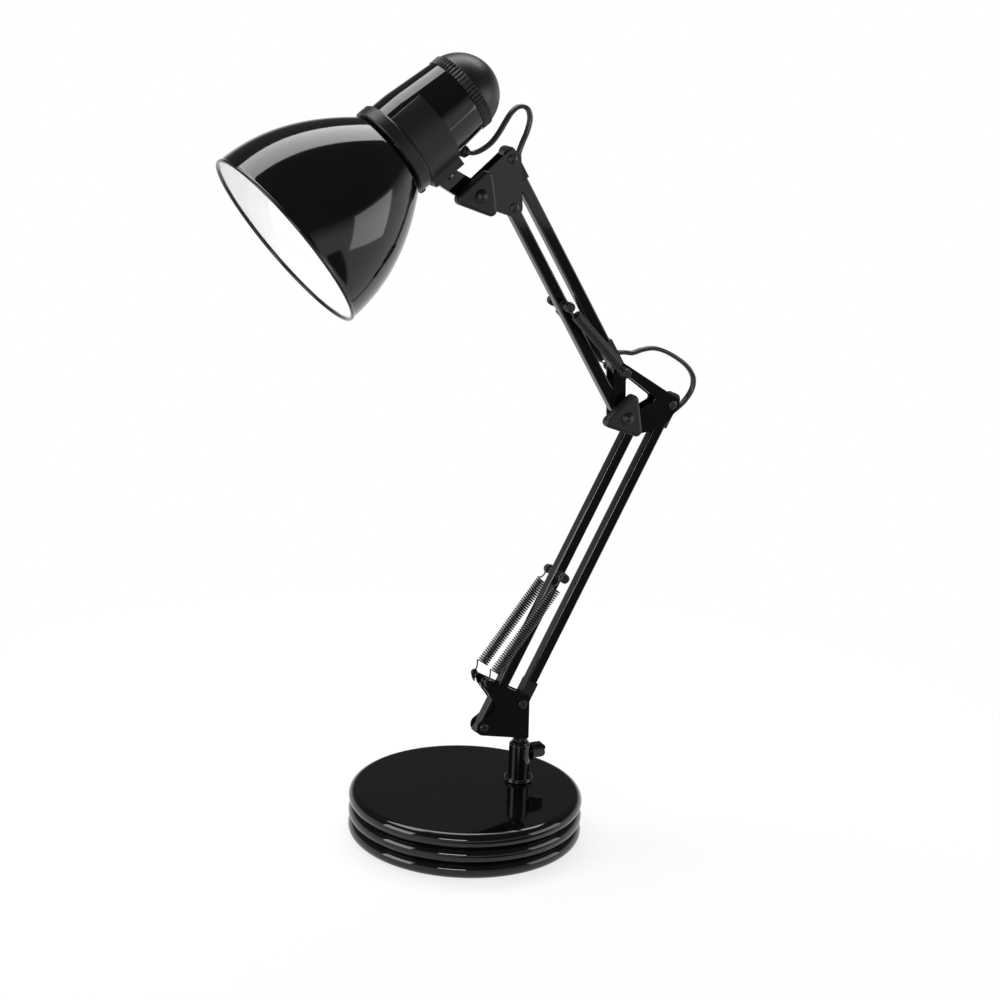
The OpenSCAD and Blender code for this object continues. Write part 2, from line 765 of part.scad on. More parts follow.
// Points [w, p, q]: a hook round the claw's peg, the curls, and a hook round the pin.
// Each hook ends in a short straight run.
function wire_path() = concat(
    [[0.35 * claw_loop_r + wire_d, -0.94 * claw_loop_r + 0.34 * wire_d, 0]],
    [for (a = [200:-35:-10]) [-claw_loop_r * sin(a), claw_loop_r * cos(a), 0]],
    [[0.45 * coil_end, claw_loop_r + 0.1, 0], [0.75 * coil_end, coil_mean_r - 0.5, -0.9],
     [coil_end - 0.45, coil_mean_r - 0.15, -1.3]],
    coil_points(),
    [[spring_l - coil_end + 0.45, coil_mean_r - 0.15, 1.3],
     [spring_l - 0.75 * coil_end, coil_mean_r - 0.5, 0.9], [spring_l - 0.45 * coil_end, pin_loop_r + 0.1, 0]],
    [for (a = [-10:35:200]) [spring_l + pin_loop_r * sin(a), pin_loop_r * cos(a), 0]],
    [[spring_l - 0.35 * pin_loop_r - wire_d, -0.94 * pin_loop_r + 0.34 * wire_d, 0]]
);
function spring_frame(p, y) =
    let (w = unit(spring_run), c = claw + p[0] * w + p[1] * [-w[1], w[0]])
    [c[0], y + p[2], c[1]];

// Least gap between the wire and itself, a quarter turn or more along it
coil_list = coil_points();
coil_self_gap = min([
    for (i = [0:len(coil_list) - 1 - 2 * rings_per_turn], j = [3:2 * rings_per_turn])
        norm(coil_list[i + j] - coil_list[i])
]) - wire_d;
echo("least gap of a lower spring to itself, in mm", coil_self_gap);

module lower_spring(side) {
    y = side * lower_spring_y;
    color(steel) swept([for (p = wire_path()) spring_frame(p, y)], [0, 1, 0], wire_d / 2, wire_d / 2, 6);
}

module lower_spring_near() { lower_spring(-1); }
module lower_spring_far() { lower_spring(1); }

// Elbow

module elbow_plate(side) {
    inset = 1.7;
    top = elbow_top;
    rear = elbow_rear;
    low = elbow_clamp;
    // Corners of the triangular window, kept inside the three struts
    window = [
        [top[0] + 4.9, top[1] - 5.4, inset], [rear[0] - 12.4, rear[1] + 3.6, inset],
        [low[0] + 9.6, low[1] + 3.4, inset], [low[0] + 3.4, low[1] + 9.6, inset]
    ];
    color(black) difference() {
        beside(side, plate_in, plate_out) pressed(2.5) {
            strap(top, rear, elbow_lobe_r, elbow_lobe_r);
            strap(top, low, elbow_lobe_r, strut_r + 1.4);
            lobed([
                [low[0], low[1], strut_r + 1.4], [rear[0], rear[1], elbow_lobe_r],
                [rear[0] - 6.4, rear[1] - 11.4, 1], [elbow_front[0] - 2, elbow_front[1] - 3.4, 1.2]
            ]);
            polygon([top, rear, low]);
        }
        beside(side, plate_in - 1, plate_out + 1) pressed(0.2) lobed(window);
        for (p = [elbow_top, elbow_rear, elbow_front])
            crosswise(p, screw_r + running, -plate_out - 1, plate_out + 1);
        crosswise(elbow_clamp, clamp_bolt_r + running, -plate_out - 1, plate_out + 1);
    }
}

module elbow_plate_near() { elbow_plate(-1); }
module elbow_plate_far() { elbow_plate(1); }

module elbow_screws() {
    color(steel) for (p = [elbow_rear, elbow_front]) pivot_screw(p);
}

module elbow_nuts() {
    color(steel) for (p = [elbow_rear, elbow_front]) pivot_nut(p);
}

// The top pivot's bolt, long enough to hold an upper spring on each side
module elbow_spring_bolt() {
    end_y = upper_spring_y + 0.5 * wire_d + loop_gap;
    color(matt_black) {
        crosswise(elbow_top, screw_r, -end_y, end_y);
        for (side = [-1, 1]) {
            beside(side, plate_out, plate_out + 1.6) translate(elbow_top) circle(pin_flange_r);
            beside(side, end_y, end_y + 1.4) translate(elbow_top) circle(pin_knob_r);
            translate([elbow_top[0], side * (end_y + 1.4), elbow_top[1]]) rotate([-90 * side, 0, 0])
                cylinder(h = 0.6, r1 = pin_knob_r, r2 = pin_knob_r - 0.7);
        }
    }
}

// A clamp bolt with a hexagon head on the far side and its end inside the knob
module clamp_bolt(point) {
    color(steel) {
        crosswise(point, clamp_bolt_r, -knob_front + 1, plate_out);
        translate([point[0], plate_out + 2.6, point[1]]) rotate([90, 0, 0]) cylinder(h = 2.6, r = 3.7, $fn = 6);
    }
}

module clamp_washer(point) {
    color(steel) difference() {
        crosswise(point, 5.2, -knob_back + 0.1, -plate_out);
        crosswise(point, clamp_bolt_r + running, -knob_back - 1, 0);
    }
}

// A three-lobed knob with a domed middle
module lobe_knob(point) {
    lobe_at = knob_r - knob_tip_r;
    edge = 0.8;
    corners = [for (a = knob_lobes) [point[0] + lobe_at * cos(a), point[1] + lobe_at * sin(a)]];
    color(matt_black) difference() {
        union() {
            across(-knob_front + edge, -knob_back) lobed([for (c = corners) [c[0], c[1], knob_tip_r]]);
            across(-knob_front, -knob_front + edge) lobed([for (c = corners) [c[0], c[1], knob_tip_r - edge]]);
            translate([point[0], -knob_front + 1.2, point[1]]) sphere(knob_dome_r);
        }
        crosswise(point, clamp_bolt_r + running, -knob_front + 0.8, 0);
    }
}

module elbow_bolt() { clamp_bolt(elbow_clamp); }
module elbow_washer() { clamp_washer(elbow_clamp); }
module elbow_knob() { lobe_knob(elbow_clamp); }

// Upper arm

module upper_front_tube() {
    color(black) tube(elbow_clamp, -upper_lean, -tube_end, upper_len + tube_end) {
        crosswise(elbow_clamp, clamp_bolt_r + running, -tube_w, tube_w);
        crosswise(head_front, screw_r + running + closing_gap, -tube_w, tube_w);
        crosswise(upper_pin, pin_r + running, -tube_w, tube_w);
    }
}

module upper_rear_tube() {
    color(black) tube(elbow_top, -upper_lean, knee_entry + guide_run, upper_len - wrist_entry - guide_run);
}

module upper_flex_guides() {
    color(matt_black) {
        flex_guide(elbow_top, upper_dir, upper_side, knee_entry);
        flex_guide(head_rear, -upper_dir, upper_side, wrist_entry);
    }
}

module upper_spring_pin() { spring_pin(upper_pin, upper_spring_y); }

// Upper spring: its sleeve hides the curls, and a wire loop shows at each end
upper_run = upper_pin - elbow_top;
upper_spring_l = norm(upper_run);
upper_aim = atan2(upper_run[0], upper_run[1]);

module along_upper_spring(side, start) {
    translate([elbow_top[0], side * upper_spring_y, elbow_top[1]]) rotate([0, upper_aim, 0])
        translate([0, 0, start]) children();
}

module wire_loop(radius) {
    difference() {
        rotate([90, 0, 0]) cylinder(h = wire_d, r = radius + wire_d, center = true);
        rotate([90, 0, 0]) cylinder(h = 2 * wire_d, r = radius, center = true);
    }
}

module upper_springs() {
    core_r = sleeve_d / 2 - 1;
    color(steel) for (side = [-1, 1]) {
        low_r = screw_r + loop_gap;
        high_r = pin_r + loop_gap;
        along_upper_spring(side, 0) wire_loop(low_r);
        along_upper_spring(side, upper_spring_l) wire_loop(high_r);
        along_upper_spring(side, low_r + 0.5 * wire_d)
            cylinder(h = sleeve_end - low_r + 0.6, r = wire_d / 2, $fn = 24);
        along_upper_spring(side, upper_spring_l - sleeve_end - 0.6)
            cylinder(h = sleeve_end + 0.6 - high_r - 0.5 * wire_d, r = wire_d / 2, $fn = 24);
        along_upper_spring(side, sleeve_end + 0.5)
            cylinder(h = upper_spring_l - 2 * sleeve_end - 1, r = core_r);
    }
}

module upper_spring_sleeves() {
    color(matt_black) for (side = [-1, 1]) along_upper_spring(side, sleeve_end) difference() {
        cylinder(h = upper_spring_l - 2 * sleeve_end, r = sleeve_d / 2);
        translate([0, 0, -1]) cylinder(h = upper_spring_l, r = sleeve_d / 2 - 0.9);
    }
}

// Head bracket

module head_plate(side) {
    color(black) difference() {
        beside(side, plate_in, plate_out) pressed(1) lobed([
            [head_rear[0], head_rear[1], head_lobe_r],
            [head_front[0], head_front[1], head_lobe_r],
            [tilt_pivot[0], tilt_pivot[1], head_lobe_r]
        ]);
        for (p = [head_front, head_rear]) crosswise(p, screw_r + running, -plate_out - 1, plate_out + 1);
        crosswise(tilt_pivot, clamp_bolt_r + running, -plate_out - 1, plate_out + 1);
    }
}

module head_plate_near() { head_plate(-1); }
module head_plate_far() { head_plate(1); }

module head_screws() {
    color(steel) for (p = [head_front, head_rear]) pivot_screw(p);
}

module head_nuts() {
    color(steel) for (p = [head_front, head_rear]) pivot_nut(p);
}

module tilt_bolt() { clamp_bolt(tilt_pivot); }
module tilt_washer() { clamp_washer(tilt_pivot); }
module tilt_knob() { lobe_knob(tilt_pivot); }

// Head frame: z runs from the mouth to the dome, x away from the axis towards the arm
module at_head() {
    translate([mouth[0], 0, mouth[1]]) rotate([0, 90 - head_aim, 0]) children();
}

// A round part along the head's axis, drawn as [radius, place along the axis]
module turned_part(outline) {
    at_head() rotate_extrude($fn = 96) polygon(outline);
}

// Forged link between the saddle and the tilt bolt, with its swivel stud
module tilt_stem() {
    collar_low = saddle_flat + side_gap;
    collar_high = collar_low + 3.6;
    start = mouth + stem_s * head_a + collar_high * head_d;
    color(black) difference() {
        union() {
            across(-stem_half, stem_half) {
                strap(start, tilt_pivot, stem_collar_r, stem_end_r);
            }
            at_head() translate([collar_low, 0, stem_s]) rotate([0, 90, 0]) {
                cylinder(h = 1.6, r = stem_collar_r + 0.8);
                cylinder(h = 3.6, r = stem_collar_r);
            }
            at_head() translate([nut_seat - 3, 0, stem_s]) rotate([0, 90, 0])
                cylinder(h = collar_low - nut_seat + 4, r = stud_r);
        }
        crosswise(tilt_pivot, clamp_bolt_r + running, -tube_w, tube_w);
        at_head() translate([collar_low - 20, -10, stem_s - 10]) difference() {
            cube([20, 20, 20]);
            translate([-1, 10, 10]) rotate([0, 90, 0]) cylinder(h = 22, r = stud_r);
        }
    }
}

module swivel_nut() {
    color(steel) at_head() translate([nut_seat - 2.4, 0, stem_s]) rotate([0, 90, 0]) difference() {
        cylinder(h = 2.4, r = swivel_nut_r, $fn = 6);
        translate([0, 0, -1]) cylinder(h = 5, r = stud_r + running);
    }
}

// Saddle: wraps the housing and ends in a flat for the swivel
module saddle() {
    color(matt_black) at_head() translate([0, 0, saddle_s]) difference() {
        union() {
            linear_extrude(saddle_l) difference() {
                circle(saddle_r, $fn = 96);
                polygon([
                    [-0.75 * saddle_r, -0.66 * saddle_r], [-2 * saddle_r, -1.76 * saddle_r],
                    [-2 * saddle_r, 1.76 * saddle_r], [-0.75 * saddle_r, 0.66 * saddle_r],
                ]);
            }
            translate([0, -saddle_half_w, 0]) cube([saddle_flat, 2 * saddle_half_w, saddle_l]);
        }
        translate([0, 0, -1]) cylinder(h = saddle_l + 2, r = saddle_in, $fn = 96);
        translate([0, 0, stem_s - saddle_s]) rotate([0, 90, 0]) cylinder(h = 2 * saddle_flat, r = stud_r + running);
    }
}

module collar_ring() {
    lug_r = 2.4;
    color(matt_black) difference() {
        union() {
            turned_part([
                [housing_front_r - 1, ring_s], [ring_r - 0.5, ring_s], [ring_r, ring_s + 0.6],
                [ring_r, ring_s + ring_w - 0.8], [ring_r - 0.6, ring_s + ring_w],
                [housing_front_r - 1, ring_s + ring_w]
            ]);
            at_head() translate([ring_r - 1.4, 0, ring_s + 0.5 * ring_w]) rotate([0, 90, 0])
                cylinder(h = 3.4, r1 = lug_r, r2 = lug_r - 0.6);
        }
        at_head() translate([0, 0, ring_s - 1]) cylinder(h = ring_w + 2, r = housing_front_r + 0.1, $fn = 96);
    }
}

module housing() {
    color(black) difference() {
        turned_part([
            [neck_hole_r, housing_s], [housing_front_r, housing_s],
            [housing_front_r, taper_s], [housing_rear_r, housing_end],
            [housing_rear_r - housing_wall, housing_end],
            [housing_in, taper_s],
            [housing_in, housing_s + housing_wall],
            [neck_hole_r, housing_s + housing_wall]
        ]);
        at_head() translate([0, 0, stem_s]) rotate([0, 90, 0]) cylinder(h = 2 * ring_r, r = stud_r + running);
        at_gland() translate([0, 0, -3]) cylinder(h = 6, r = gland_r - gland_neck + running);
    }
}

module at_gland() {
    at_head() translate([gland_d, 0, gland_s]) rotate([0, 90 - gland_lean, 0]) children();
}

module flex_gland() {
    color(matt_black) at_gland() difference() {
        union() {
            translate([0, 0, -2.2]) cylinder(h = gland_l + 2.2, r = gland_r - gland_neck);
            for (z = [3, 4.7]) translate([0, 0, z]) cylinder(h = 1.1, r = gland_r);
        }
        translate([-flex_half_t, -1.6, -3]) cube([flex_t, 3.2, 4.2]);
    }
}

module lampholder() {
    color(white) turned_part([
        [holder_r, flange_s + 2], [flange_r, flange_s + 2], [flange_r, flange_s],
        [holder_r, flange_s], [holder_r, holder_s], [cap_r + cap_gap + shell_t, holder_s],
        [cap_r + cap_gap + shell_t, bulb_l + 0.6], [2.4, bulb_l + 0.6], [2.4, bulb_l + 1.6],
        [0, bulb_l + 1.6], [0, holder_end], [holder_r, holder_end]
    ]);
}

module lampholder_shell() {
    color(brass) turned_part([
        [cap_r + cap_gap, holder_s + 3], [cap_r + cap_gap + shell_t, holder_s + 3],
        [cap_r + cap_gap + shell_t, bulb_l - 2], [cap_r + cap_gap, bulb_l - 2]
    ]);
}

module lampholder_contact() {
    color(brass) at_head() translate([0, 0, bulb_l + 0.1]) cylinder(h = 1.5, r = 2.3);
}

module switch_body() {
    color(matt_black) at_head() {
        translate([0, 0, holder_end]) cylinder(h = switch_l - 1, r = switch_r);
        translate([0, 0, holder_end + switch_l - 1]) cylinder(h = 5, r = switch_stem_r);
    }
}

// Rear dome: a half ball with a ribbed rim, turned on the switch's stem
module dome_switch() {
    wall = 1.4;
    hub_s = holder_end + switch_l - 0.6;
    rim = [for (i = [0:2 * dome_ribs - 1])
        let (a = 180 * i / dome_ribs, r = dome_r + (i % 2 == 0 ? rib_h - 0.2 : -0.2))
        [r * cos(a), r * sin(a)]];
    color(matt_black) at_head() difference() {
        union() {
            translate([0, 0, dome_s]) linear_extrude(dome_rim_w) polygon(rim);
            translate([0, 0, dome_s + 1.6]) intersection() {
                sphere(dome_r, $fn = 96);
                cylinder(h = 2 * dome_r, r = 2 * dome_r);
            }
        }
        difference() {
            translate([0, 0, dome_s + 1.6]) sphere(dome_r - wall, $fn = 96);
            translate([0, 0, hub_s]) cylinder(h = dome_r, r = switch_stem_r + 2);
        }
        translate([0, 0, dome_s - 1]) cylinder(h = 2.6, r = dome_r - wall);
        translate([0, 0, dome_s - 2]) cylinder(h = hub_s - dome_s + 7, r = switch_stem_r + running);
    }
}

// Bell curve of the shade: radius at a place along the axis
function bell(s) = mouth_r - (mouth_r - neck_r) * pow(s / shade_l, shade_curve);
bell_steps = 22;

module shade() {
    outer = [for (i = [0:bell_steps]) let (s = shade_l * i / bell_steps) [bell(s), s]];
    inner = [for (i = [bell_steps:-1:0]) let (s = shade_l * i / bell_steps)
        [bell(s) - shade_wall, min(s, shade_l - shade_wall)]];
    color(black) {
        turned_part(concat(outer, [[neck_hole_r, shade_l], [neck_hole_r, shade_l - shade_wall]], inner));
        at_head() translate([0, 0, 0.5 * bead_r]) rotate_extrude($fn = 96)
            translate([mouth_r - 0.5 * bead_r, 0]) circle(bead_r, $fn = 24);
    }
}

// Bulb: a globe that runs into its neck on a smooth curve
neck_from = 48;
neck_to = 84;
function globe_at(s, r) = sqrt(max(r * r - (s - globe_r) * (s - globe_r), 0));
function neck_at(s, shrink) =
    let (u = (s - neck_from) / (neck_to - neck_from),
         r0 = globe_at(neck_from, globe_r), slope = (globe_r - neck_from) / r0 * (neck_to - neck_from))
    (2 * u * u * u - 3 * u * u + 1) * r0 + (u * u * u - 2 * u * u + u) * slope
        + (3 * u * u - 2 * u * u * u) * (cap_r - 0.6) - shrink;

module bulb_glass() {
    turn = acos((globe_r - neck_from) / globe_r);
    outer = concat(
        [for (i = [0:14]) let (a = turn * i / 14) [globe_r * sin(a), globe_r - globe_r * cos(a)]],
        [for (i = [1:9]) let (s = neck_from + (neck_to - neck_from) * i / 9) [neck_at(s, 0), s]]
    );
    inner = concat(
        [for (i = [9:-1:1]) let (s = neck_from + (neck_to - neck_from) * i / 9) [neck_at(s, glass_t), s]],
        [for (i = [14:-1:0]) let (a = turn * i / 14, r = globe_r - glass_t) [r * sin(a), globe_r - r * cos(a)]]
    );
    color(white) turned_part(concat(outer, inner));
}

module bulb_cap() {
    color(brass) turned_part([
        [cap_r - 1.2, neck_to], [cap_r, neck_to + 0.4], [cap_r, bulb_l - 6], [6, bulb_l - 2], [6, bulb_l - 1],
        [4.5, bulb_l], [0, bulb_l], [0, bulb_l - 5], [cap_r - 1.2, bulb_l - 8]
    ]);
}

// Flex, from the gland through both rear tubes to the shoulder

flex_start = mouth + gland_s * head_a + gland_d * head_d
    + (gland_l + gland_clear) * [cos(head_aim - 90 + gland_lean), sin(head_aim - 90 + gland_lean)];
// Places of the flex inside a tube, as shares of the run between its two guides
inside_places = [0.1, 0.5, 0.9];
// The flex held by one tube: into its first guide, along it and out of its second
function held_run(first, last) = concat(
    first,
    [for (place = inside_places) first[len(first) - 1] * (1 - place) + last[0] * place],
    last
);
flex_route = concat(
    [flex_start], head_route,
    held_run(guide_points(head_rear, -upper_dir, upper_side, wrist_entry),
        turned(guide_points(elbow_top, upper_dir, upper_side, knee_entry))),
    elbow_route,
    held_run(guide_points(elbow_rear, -lower_dir, lower_side, elbow_entry),
        turned(guide_points(shoulder_rear, lower_dir, lower_side, shoulder_entry)))
);
flex_steps = 2;
flex_path = smooth_path(flex_route, flex_steps);
flex_tangents = tangents(flex_path);
head_free = len(head_route) + 1;
upper_held = head_free + 2 * len(guide_route(0)) + len(inside_places) - 1;
elbow_free = upper_held + len(elbow_route) + 1;

module head_flex_front() { flex(0, head_split_a); }
module head_flex_middle() { flex(head_split_a, head_split_b); }
module head_flex_rear() { flex(head_split_b, head_free); }
module upper_flex() { flex(head_free, upper_held); }
module elbow_flex_upper() { flex(upper_held, upper_held + elbow_split); }
module elbow_flex_lower() { flex(upper_held + elbow_split, elbow_free); }
module lower_flex() { flex(elbow_free, len(flex_route) - 1); }

base_cover();
base_weight();
base_plate();
base_pad();
post();
post_bolt();
thumbscrew();
swivel_spindle();
lower_bracket_near();
lower_bracket_far();
shoulder_screws();
shoulder_nuts();
lower_front_tube();
lower_rear_tube();
lower_flex_guides();
lower_flex();
lower_spring_pin();
lower_spring_near();
lower_spring_far();
elbow_plate_near();
elbow_plate_far();
elbow_screws();
elbow_nuts();
elbow_spring_bolt();
elbow_bolt();
elbow_washer();
elbow_knob();
upper_front_tube();
upper_rear_tube();
upper_flex_guides();
upper_flex();
upper_spring_pin();
upper_springs();
upper_spring_sleeves();
elbow_flex_upper();
elbow_flex_lower();
head_plate_near();
head_plate_far();
head_screws();
head_nuts();
tilt_bolt();
tilt_washer();
tilt_knob();
tilt_stem();
swivel_nut();
saddle();
collar_ring();
housing();
flex_gland();
lampholder();
lampholder_shell();
lampholder_contact();
switch_body();
dome_switch();
shade();
bulb_glass();
bulb_cap();
head_flex_front();
head_flex_middle();
head_flex_rear();
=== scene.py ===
"""Finishes an architect lamp: painted steel, springs, flex, clamp knobs, shade and bulb in a pale studio."""
import json
import logging
import math
from dataclasses import dataclass
from enum import Enum
from typing import Callable, Optional, Sequence

import bmesh
import bpy
from mathutils import Matrix, Vector


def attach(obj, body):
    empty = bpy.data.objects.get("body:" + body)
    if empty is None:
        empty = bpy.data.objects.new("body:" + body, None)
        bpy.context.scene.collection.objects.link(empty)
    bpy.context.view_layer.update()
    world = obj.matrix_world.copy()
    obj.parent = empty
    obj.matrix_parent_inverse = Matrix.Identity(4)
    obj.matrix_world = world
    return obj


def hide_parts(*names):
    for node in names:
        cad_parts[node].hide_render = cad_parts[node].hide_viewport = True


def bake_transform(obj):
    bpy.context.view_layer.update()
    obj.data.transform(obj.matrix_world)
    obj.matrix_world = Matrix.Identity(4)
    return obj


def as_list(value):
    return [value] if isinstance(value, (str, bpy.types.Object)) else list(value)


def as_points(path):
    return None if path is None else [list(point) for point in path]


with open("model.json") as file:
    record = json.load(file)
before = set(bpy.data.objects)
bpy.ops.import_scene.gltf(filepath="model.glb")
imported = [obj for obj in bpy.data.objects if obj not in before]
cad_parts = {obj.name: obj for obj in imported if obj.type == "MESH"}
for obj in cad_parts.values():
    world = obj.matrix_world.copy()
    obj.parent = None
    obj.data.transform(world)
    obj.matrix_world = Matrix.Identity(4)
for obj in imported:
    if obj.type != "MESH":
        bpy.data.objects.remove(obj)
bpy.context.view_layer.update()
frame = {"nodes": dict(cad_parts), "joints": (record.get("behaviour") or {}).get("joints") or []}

LOG = logging.getLogger("architect_lamp")
MM = 0.001
ACROSS = Vector((0.0, 1.0, 0.0))
UPWARD = Vector((0.0, 0.0, 1.0))
SHARP_EDGE = math.radians(34)
FLAT_FACES = math.radians(0.4)
WELD_GAP = 1e-6
DOUBLED_GAP = 1e-7
RELIEF_STRENGTH = 0.6
GLOW_REACH = 0.002
Outline = list[tuple[float, float]]


class Side(Enum):
    """The two sides of the arms' middle plane."""

    NEAR = -1.0
    FAR = 1.0


def plane(x: float, z: float, y: float = 0.0) -> Vector:
    """Returns a point given in millimetres, in metres. Args: x, z in the arms' plane and y across it."""
    return Vector((x, y, z)) * MM


def joint(name: str) -> dict:
    """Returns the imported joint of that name."""
    return next(row for row in frame["joints"] if row["name"] == name)


def pivot(name: str) -> Vector:
    """Returns the point that a joint turns about, in metres."""
    return Vector(joint(name)["pos_m"])


def toward(angle: float) -> Vector:
    """Returns a direction in the arms' plane. Args: angle from upright, towards +X, in degrees."""
    return Vector((math.sin(math.radians(angle)), 0.0, math.cos(math.radians(angle))))


@dataclass(frozen=True)
class Linkage:
    """The pivots and directions of the two sprung arms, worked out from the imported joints."""

    lower_lean: float = 27.0
    upper_lean: float = -31.4
    lower_length: float = 177.3
    lower_pin_at: float = 90.0
    upper_pin_at: float = 70.5
    claw_step: tuple[float, float] = (-0.6, 26.8)

    @property
    def lower(self) -> Vector:
        """Direction of the lower tubes, upwards."""
        return toward(self.lower_lean)

    @property
    def upper(self) -> Vector:
        """Direction of the upper tubes, upwards."""
        return toward(self.upper_lean)

    @property
    def elbow_front(self) -> Vector:
        """The elbow pivot that closes the lower parallelogram."""
        return pivot("lower_front_fold") + self.lower * self.lower_length * MM

    @property
    def head_front(self) -> Vector:
        """The head pivot that closes the upper parallelogram."""
        return pivot("head_bracket_fold") - (pivot("upper_arm_fold") - pivot("upper_front_fold"))

    @property
    def claw(self) -> Vector:
        """The peg that the lower springs hook on."""
        return pivot("lower_front_fold") + plane(*self.claw_step)

    @property
    def lower_pin(self) -> Vector:
        """The cross pin on the lower front tube."""
        return pivot("lower_front_fold") + self.lower * self.lower_pin_at * MM

    @property
    def upper_pin(self) -> Vector:
        """The cross pin on the upper front tube."""
        return pivot("upper_front_fold") + self.upper * self.upper_pin_at * MM


@dataclass(frozen=True)
class Spindle:
    """A straight axis with a direction square to it, from which turned forms are laid out."""

    origin: Vector
    along: Vector
    side: Vector

    def at(self, height: float, radius: float = 0.0, angle: float = 0.0) -> Vector:
        """Finds a point round the axis.

        Args:
            height: distance along the axis, in millimetres.
            radius: distance from it, in millimetres.
            angle: turn from the side direction, in radians.

        Returns:
            The point, in metres.
        """
        third = self.along.cross(self.side)
        outward = self.side * math.cos(angle) + third * math.sin(angle)
        return self.origin + (self.along * height + outward * radius) * MM


def head_axis() -> Spindle:
    """Returns the shade's axis, from the middle of its mouth towards the dome."""
    along = Vector(joint("switch_turn")["axis"]).normalized()
    down = Vector(joint("head_swivel")["axis"]).normalized()
    mouth = pivot("head_swivel") - (down * Head.swivel_d + along * Head.swivel_s) * MM
    return Spindle(mouth, along, ACROSS)


def mesh_piece(name: str, points: Sequence[Vector], faces: Sequence[Sequence[int]]) -> bpy.types.Object:
    """Makes one smooth mesh object, with its doubled points joined and its faces turned outwards.

    Args:
        name: name of the piece.
        points: its corners, in metres.
        faces: corner numbers of each face.

    Returns:
        The new object.
    """
    mesh = bpy.data.meshes.new(name)
    mesh.from_pydata([tuple(point) for point in points], [], [tuple(face) for face in faces])
    work = bmesh.new()
    work.from_mesh(mesh)
    bmesh.ops.remove_doubles(work, verts=work.verts, dist=DOUBLED_GAP)
    bmesh.ops.recalc_face_normals(work, faces=work.faces)
    for face in work.faces:
        face.smooth = True
    work.to_mesh(mesh)
    work.free()
    mesh.set_sharp_from_angle(angle=SHARP_EDGE)
    piece = bpy.data.objects.new(name, mesh)
    bpy.context.scene.collection.objects.link(piece)
    return piece


def skin(name: str, rings: Sequence[Sequence[Vector]], looped: bool = False) -> bpy.types.Object:
    """Covers a row of rings with one closed surface.

    Args:
        name: name of the piece.
        rings: rings with equal numbers of points.
        looped: joins the last ring to the first one, where it is otherwise capped.

    Returns:
        The new object.
    """
    count = len(rings[0])
    points = [point for ring in rings for point in ring]
    faces: list[list[int]] = []
    for row in range(len(rings) if looped else len(rings) - 1):
        here, there = row * count, (row + 1) % len(rings) * count
        for step in range(count):
            onward = (step + 1) % count
            faces.append([here + step, here + onward, there + onward, there + step])
    if not looped:
        faces.append(list(range(count)))
        faces.append([len(points) - count + step for step in range(count)])
    return mesh_piece(name, points, faces)


def round_turns(steps: int) -> list[float]:
    """Returns the angles of equal steps round a circle, in radians. Args: steps, their number."""
    return [2 * math.pi * step / steps for step in range(steps)]


def turned(name: str, axis: Spindle, profile: Outline, looped: bool = True,
           steps: int = 128) -> bpy.types.Object:
    """Turns an outline about an axis.

    Args:
        name: name of the piece.
        axis: the axis.
        profile: radius and height of each point, in millimetres.
        looped: True where the outline closes on itself away from the axis.
        steps: number of points round the axis.

    Returns:
        The new object.
    """
    rings = [[axis.at(height, radius, turn) for turn in round_turns(steps)] for radius, height in profile]
    return skin(name, rings, looped)


def arc(centre: tuple[float, float], radius: float, first: float, last: float, steps: int) -> Outline:
    """Lays points along an arc.

    Args:
        centre: its centre.
        radius: its radius.
        first: angle of its first point, in degrees.
        last: angle of its last point, in degrees.
        steps: number of steps between them.

    Returns:
        The points.
    """
    angles = [math.radians(first + (last - first) * step / steps) for step in range(steps + 1)]
    return [(centre[0] + radius * math.cos(angle), centre[1] + radius * math.sin(angle)) for angle in angles]


def circle_section(radius: float, steps: int) -> Outline:
    """Returns a round section. Args: radius in millimetres and steps, its number of corners."""
    return [(radius * math.cos(turn), radius * math.sin(turn)) for turn in round_turns(steps)]


def swept(name: str, path: Sequence[Vector], section: Outline, across: Vector = ACROSS) -> bpy.types.Object:
    """Draws a section along a path without twisting it.

    Args:
        name: name of the piece.
        path: points of the path, in metres.
        section: outline in millimetres, its first number across the path.
        across: first direction of the section.

    Returns:
        The new object.
    """
    rings = []
    side = across
    for step, point in enumerate(path):
        lead = (path[min(step + 1, len(path) - 1)] - path[max(step - 1, 0)]).normalized()
        side = (side - lead * side.dot(lead)).normalized()
        lift = lead.cross(side)
        rings.append([point + (side * u + lift * v) * MM for u, v in section])
    return skin(name, rings)


def smooth_route(route: Sequence[Vector], steps: int = 6) -> list[Vector]:
    """Runs one smooth curve through every point of a route.

    Args:
        route: the route's points.
        steps: number of steps from one point to the next.

    Returns:
        The points of the curve, with every route point among them.
    """
    padded = [route[0], *route, route[-1]]
    curve = []
    for index in range(len(route) - 1):
        before, start, end, after = padded[index:index + 4]
        for step in range(steps):
            t = step / steps
            curve.append(0.5 * (2 * start + (end - before) * t
                                + (2 * before - 5 * start + 4 * end - after) * t ** 2
                                + (3 * start - before - 3 * end + after) * t ** 3))
    return curve + [route[-1]]


def bezier(a: Vector, b: Vector, c: Vector, d: Vector, steps: int) -> list[Vector]:
    """Returns the inner points of a cubic curve. Args: a to d, its corners, and steps along it."""
    return [a * (1 - t) ** 3 + 3 * b * t * (1 - t) ** 2 + 3 * c * t ** 2 * (1 - t) + d * t ** 3
            for t in (step / steps for step in range(1, steps))]


def line_length(path: Sequence[Vector]) -> float:
    """Returns the length of a path, in its own units."""
    return sum((b - a).length for a, b in zip(path, path[1:]))


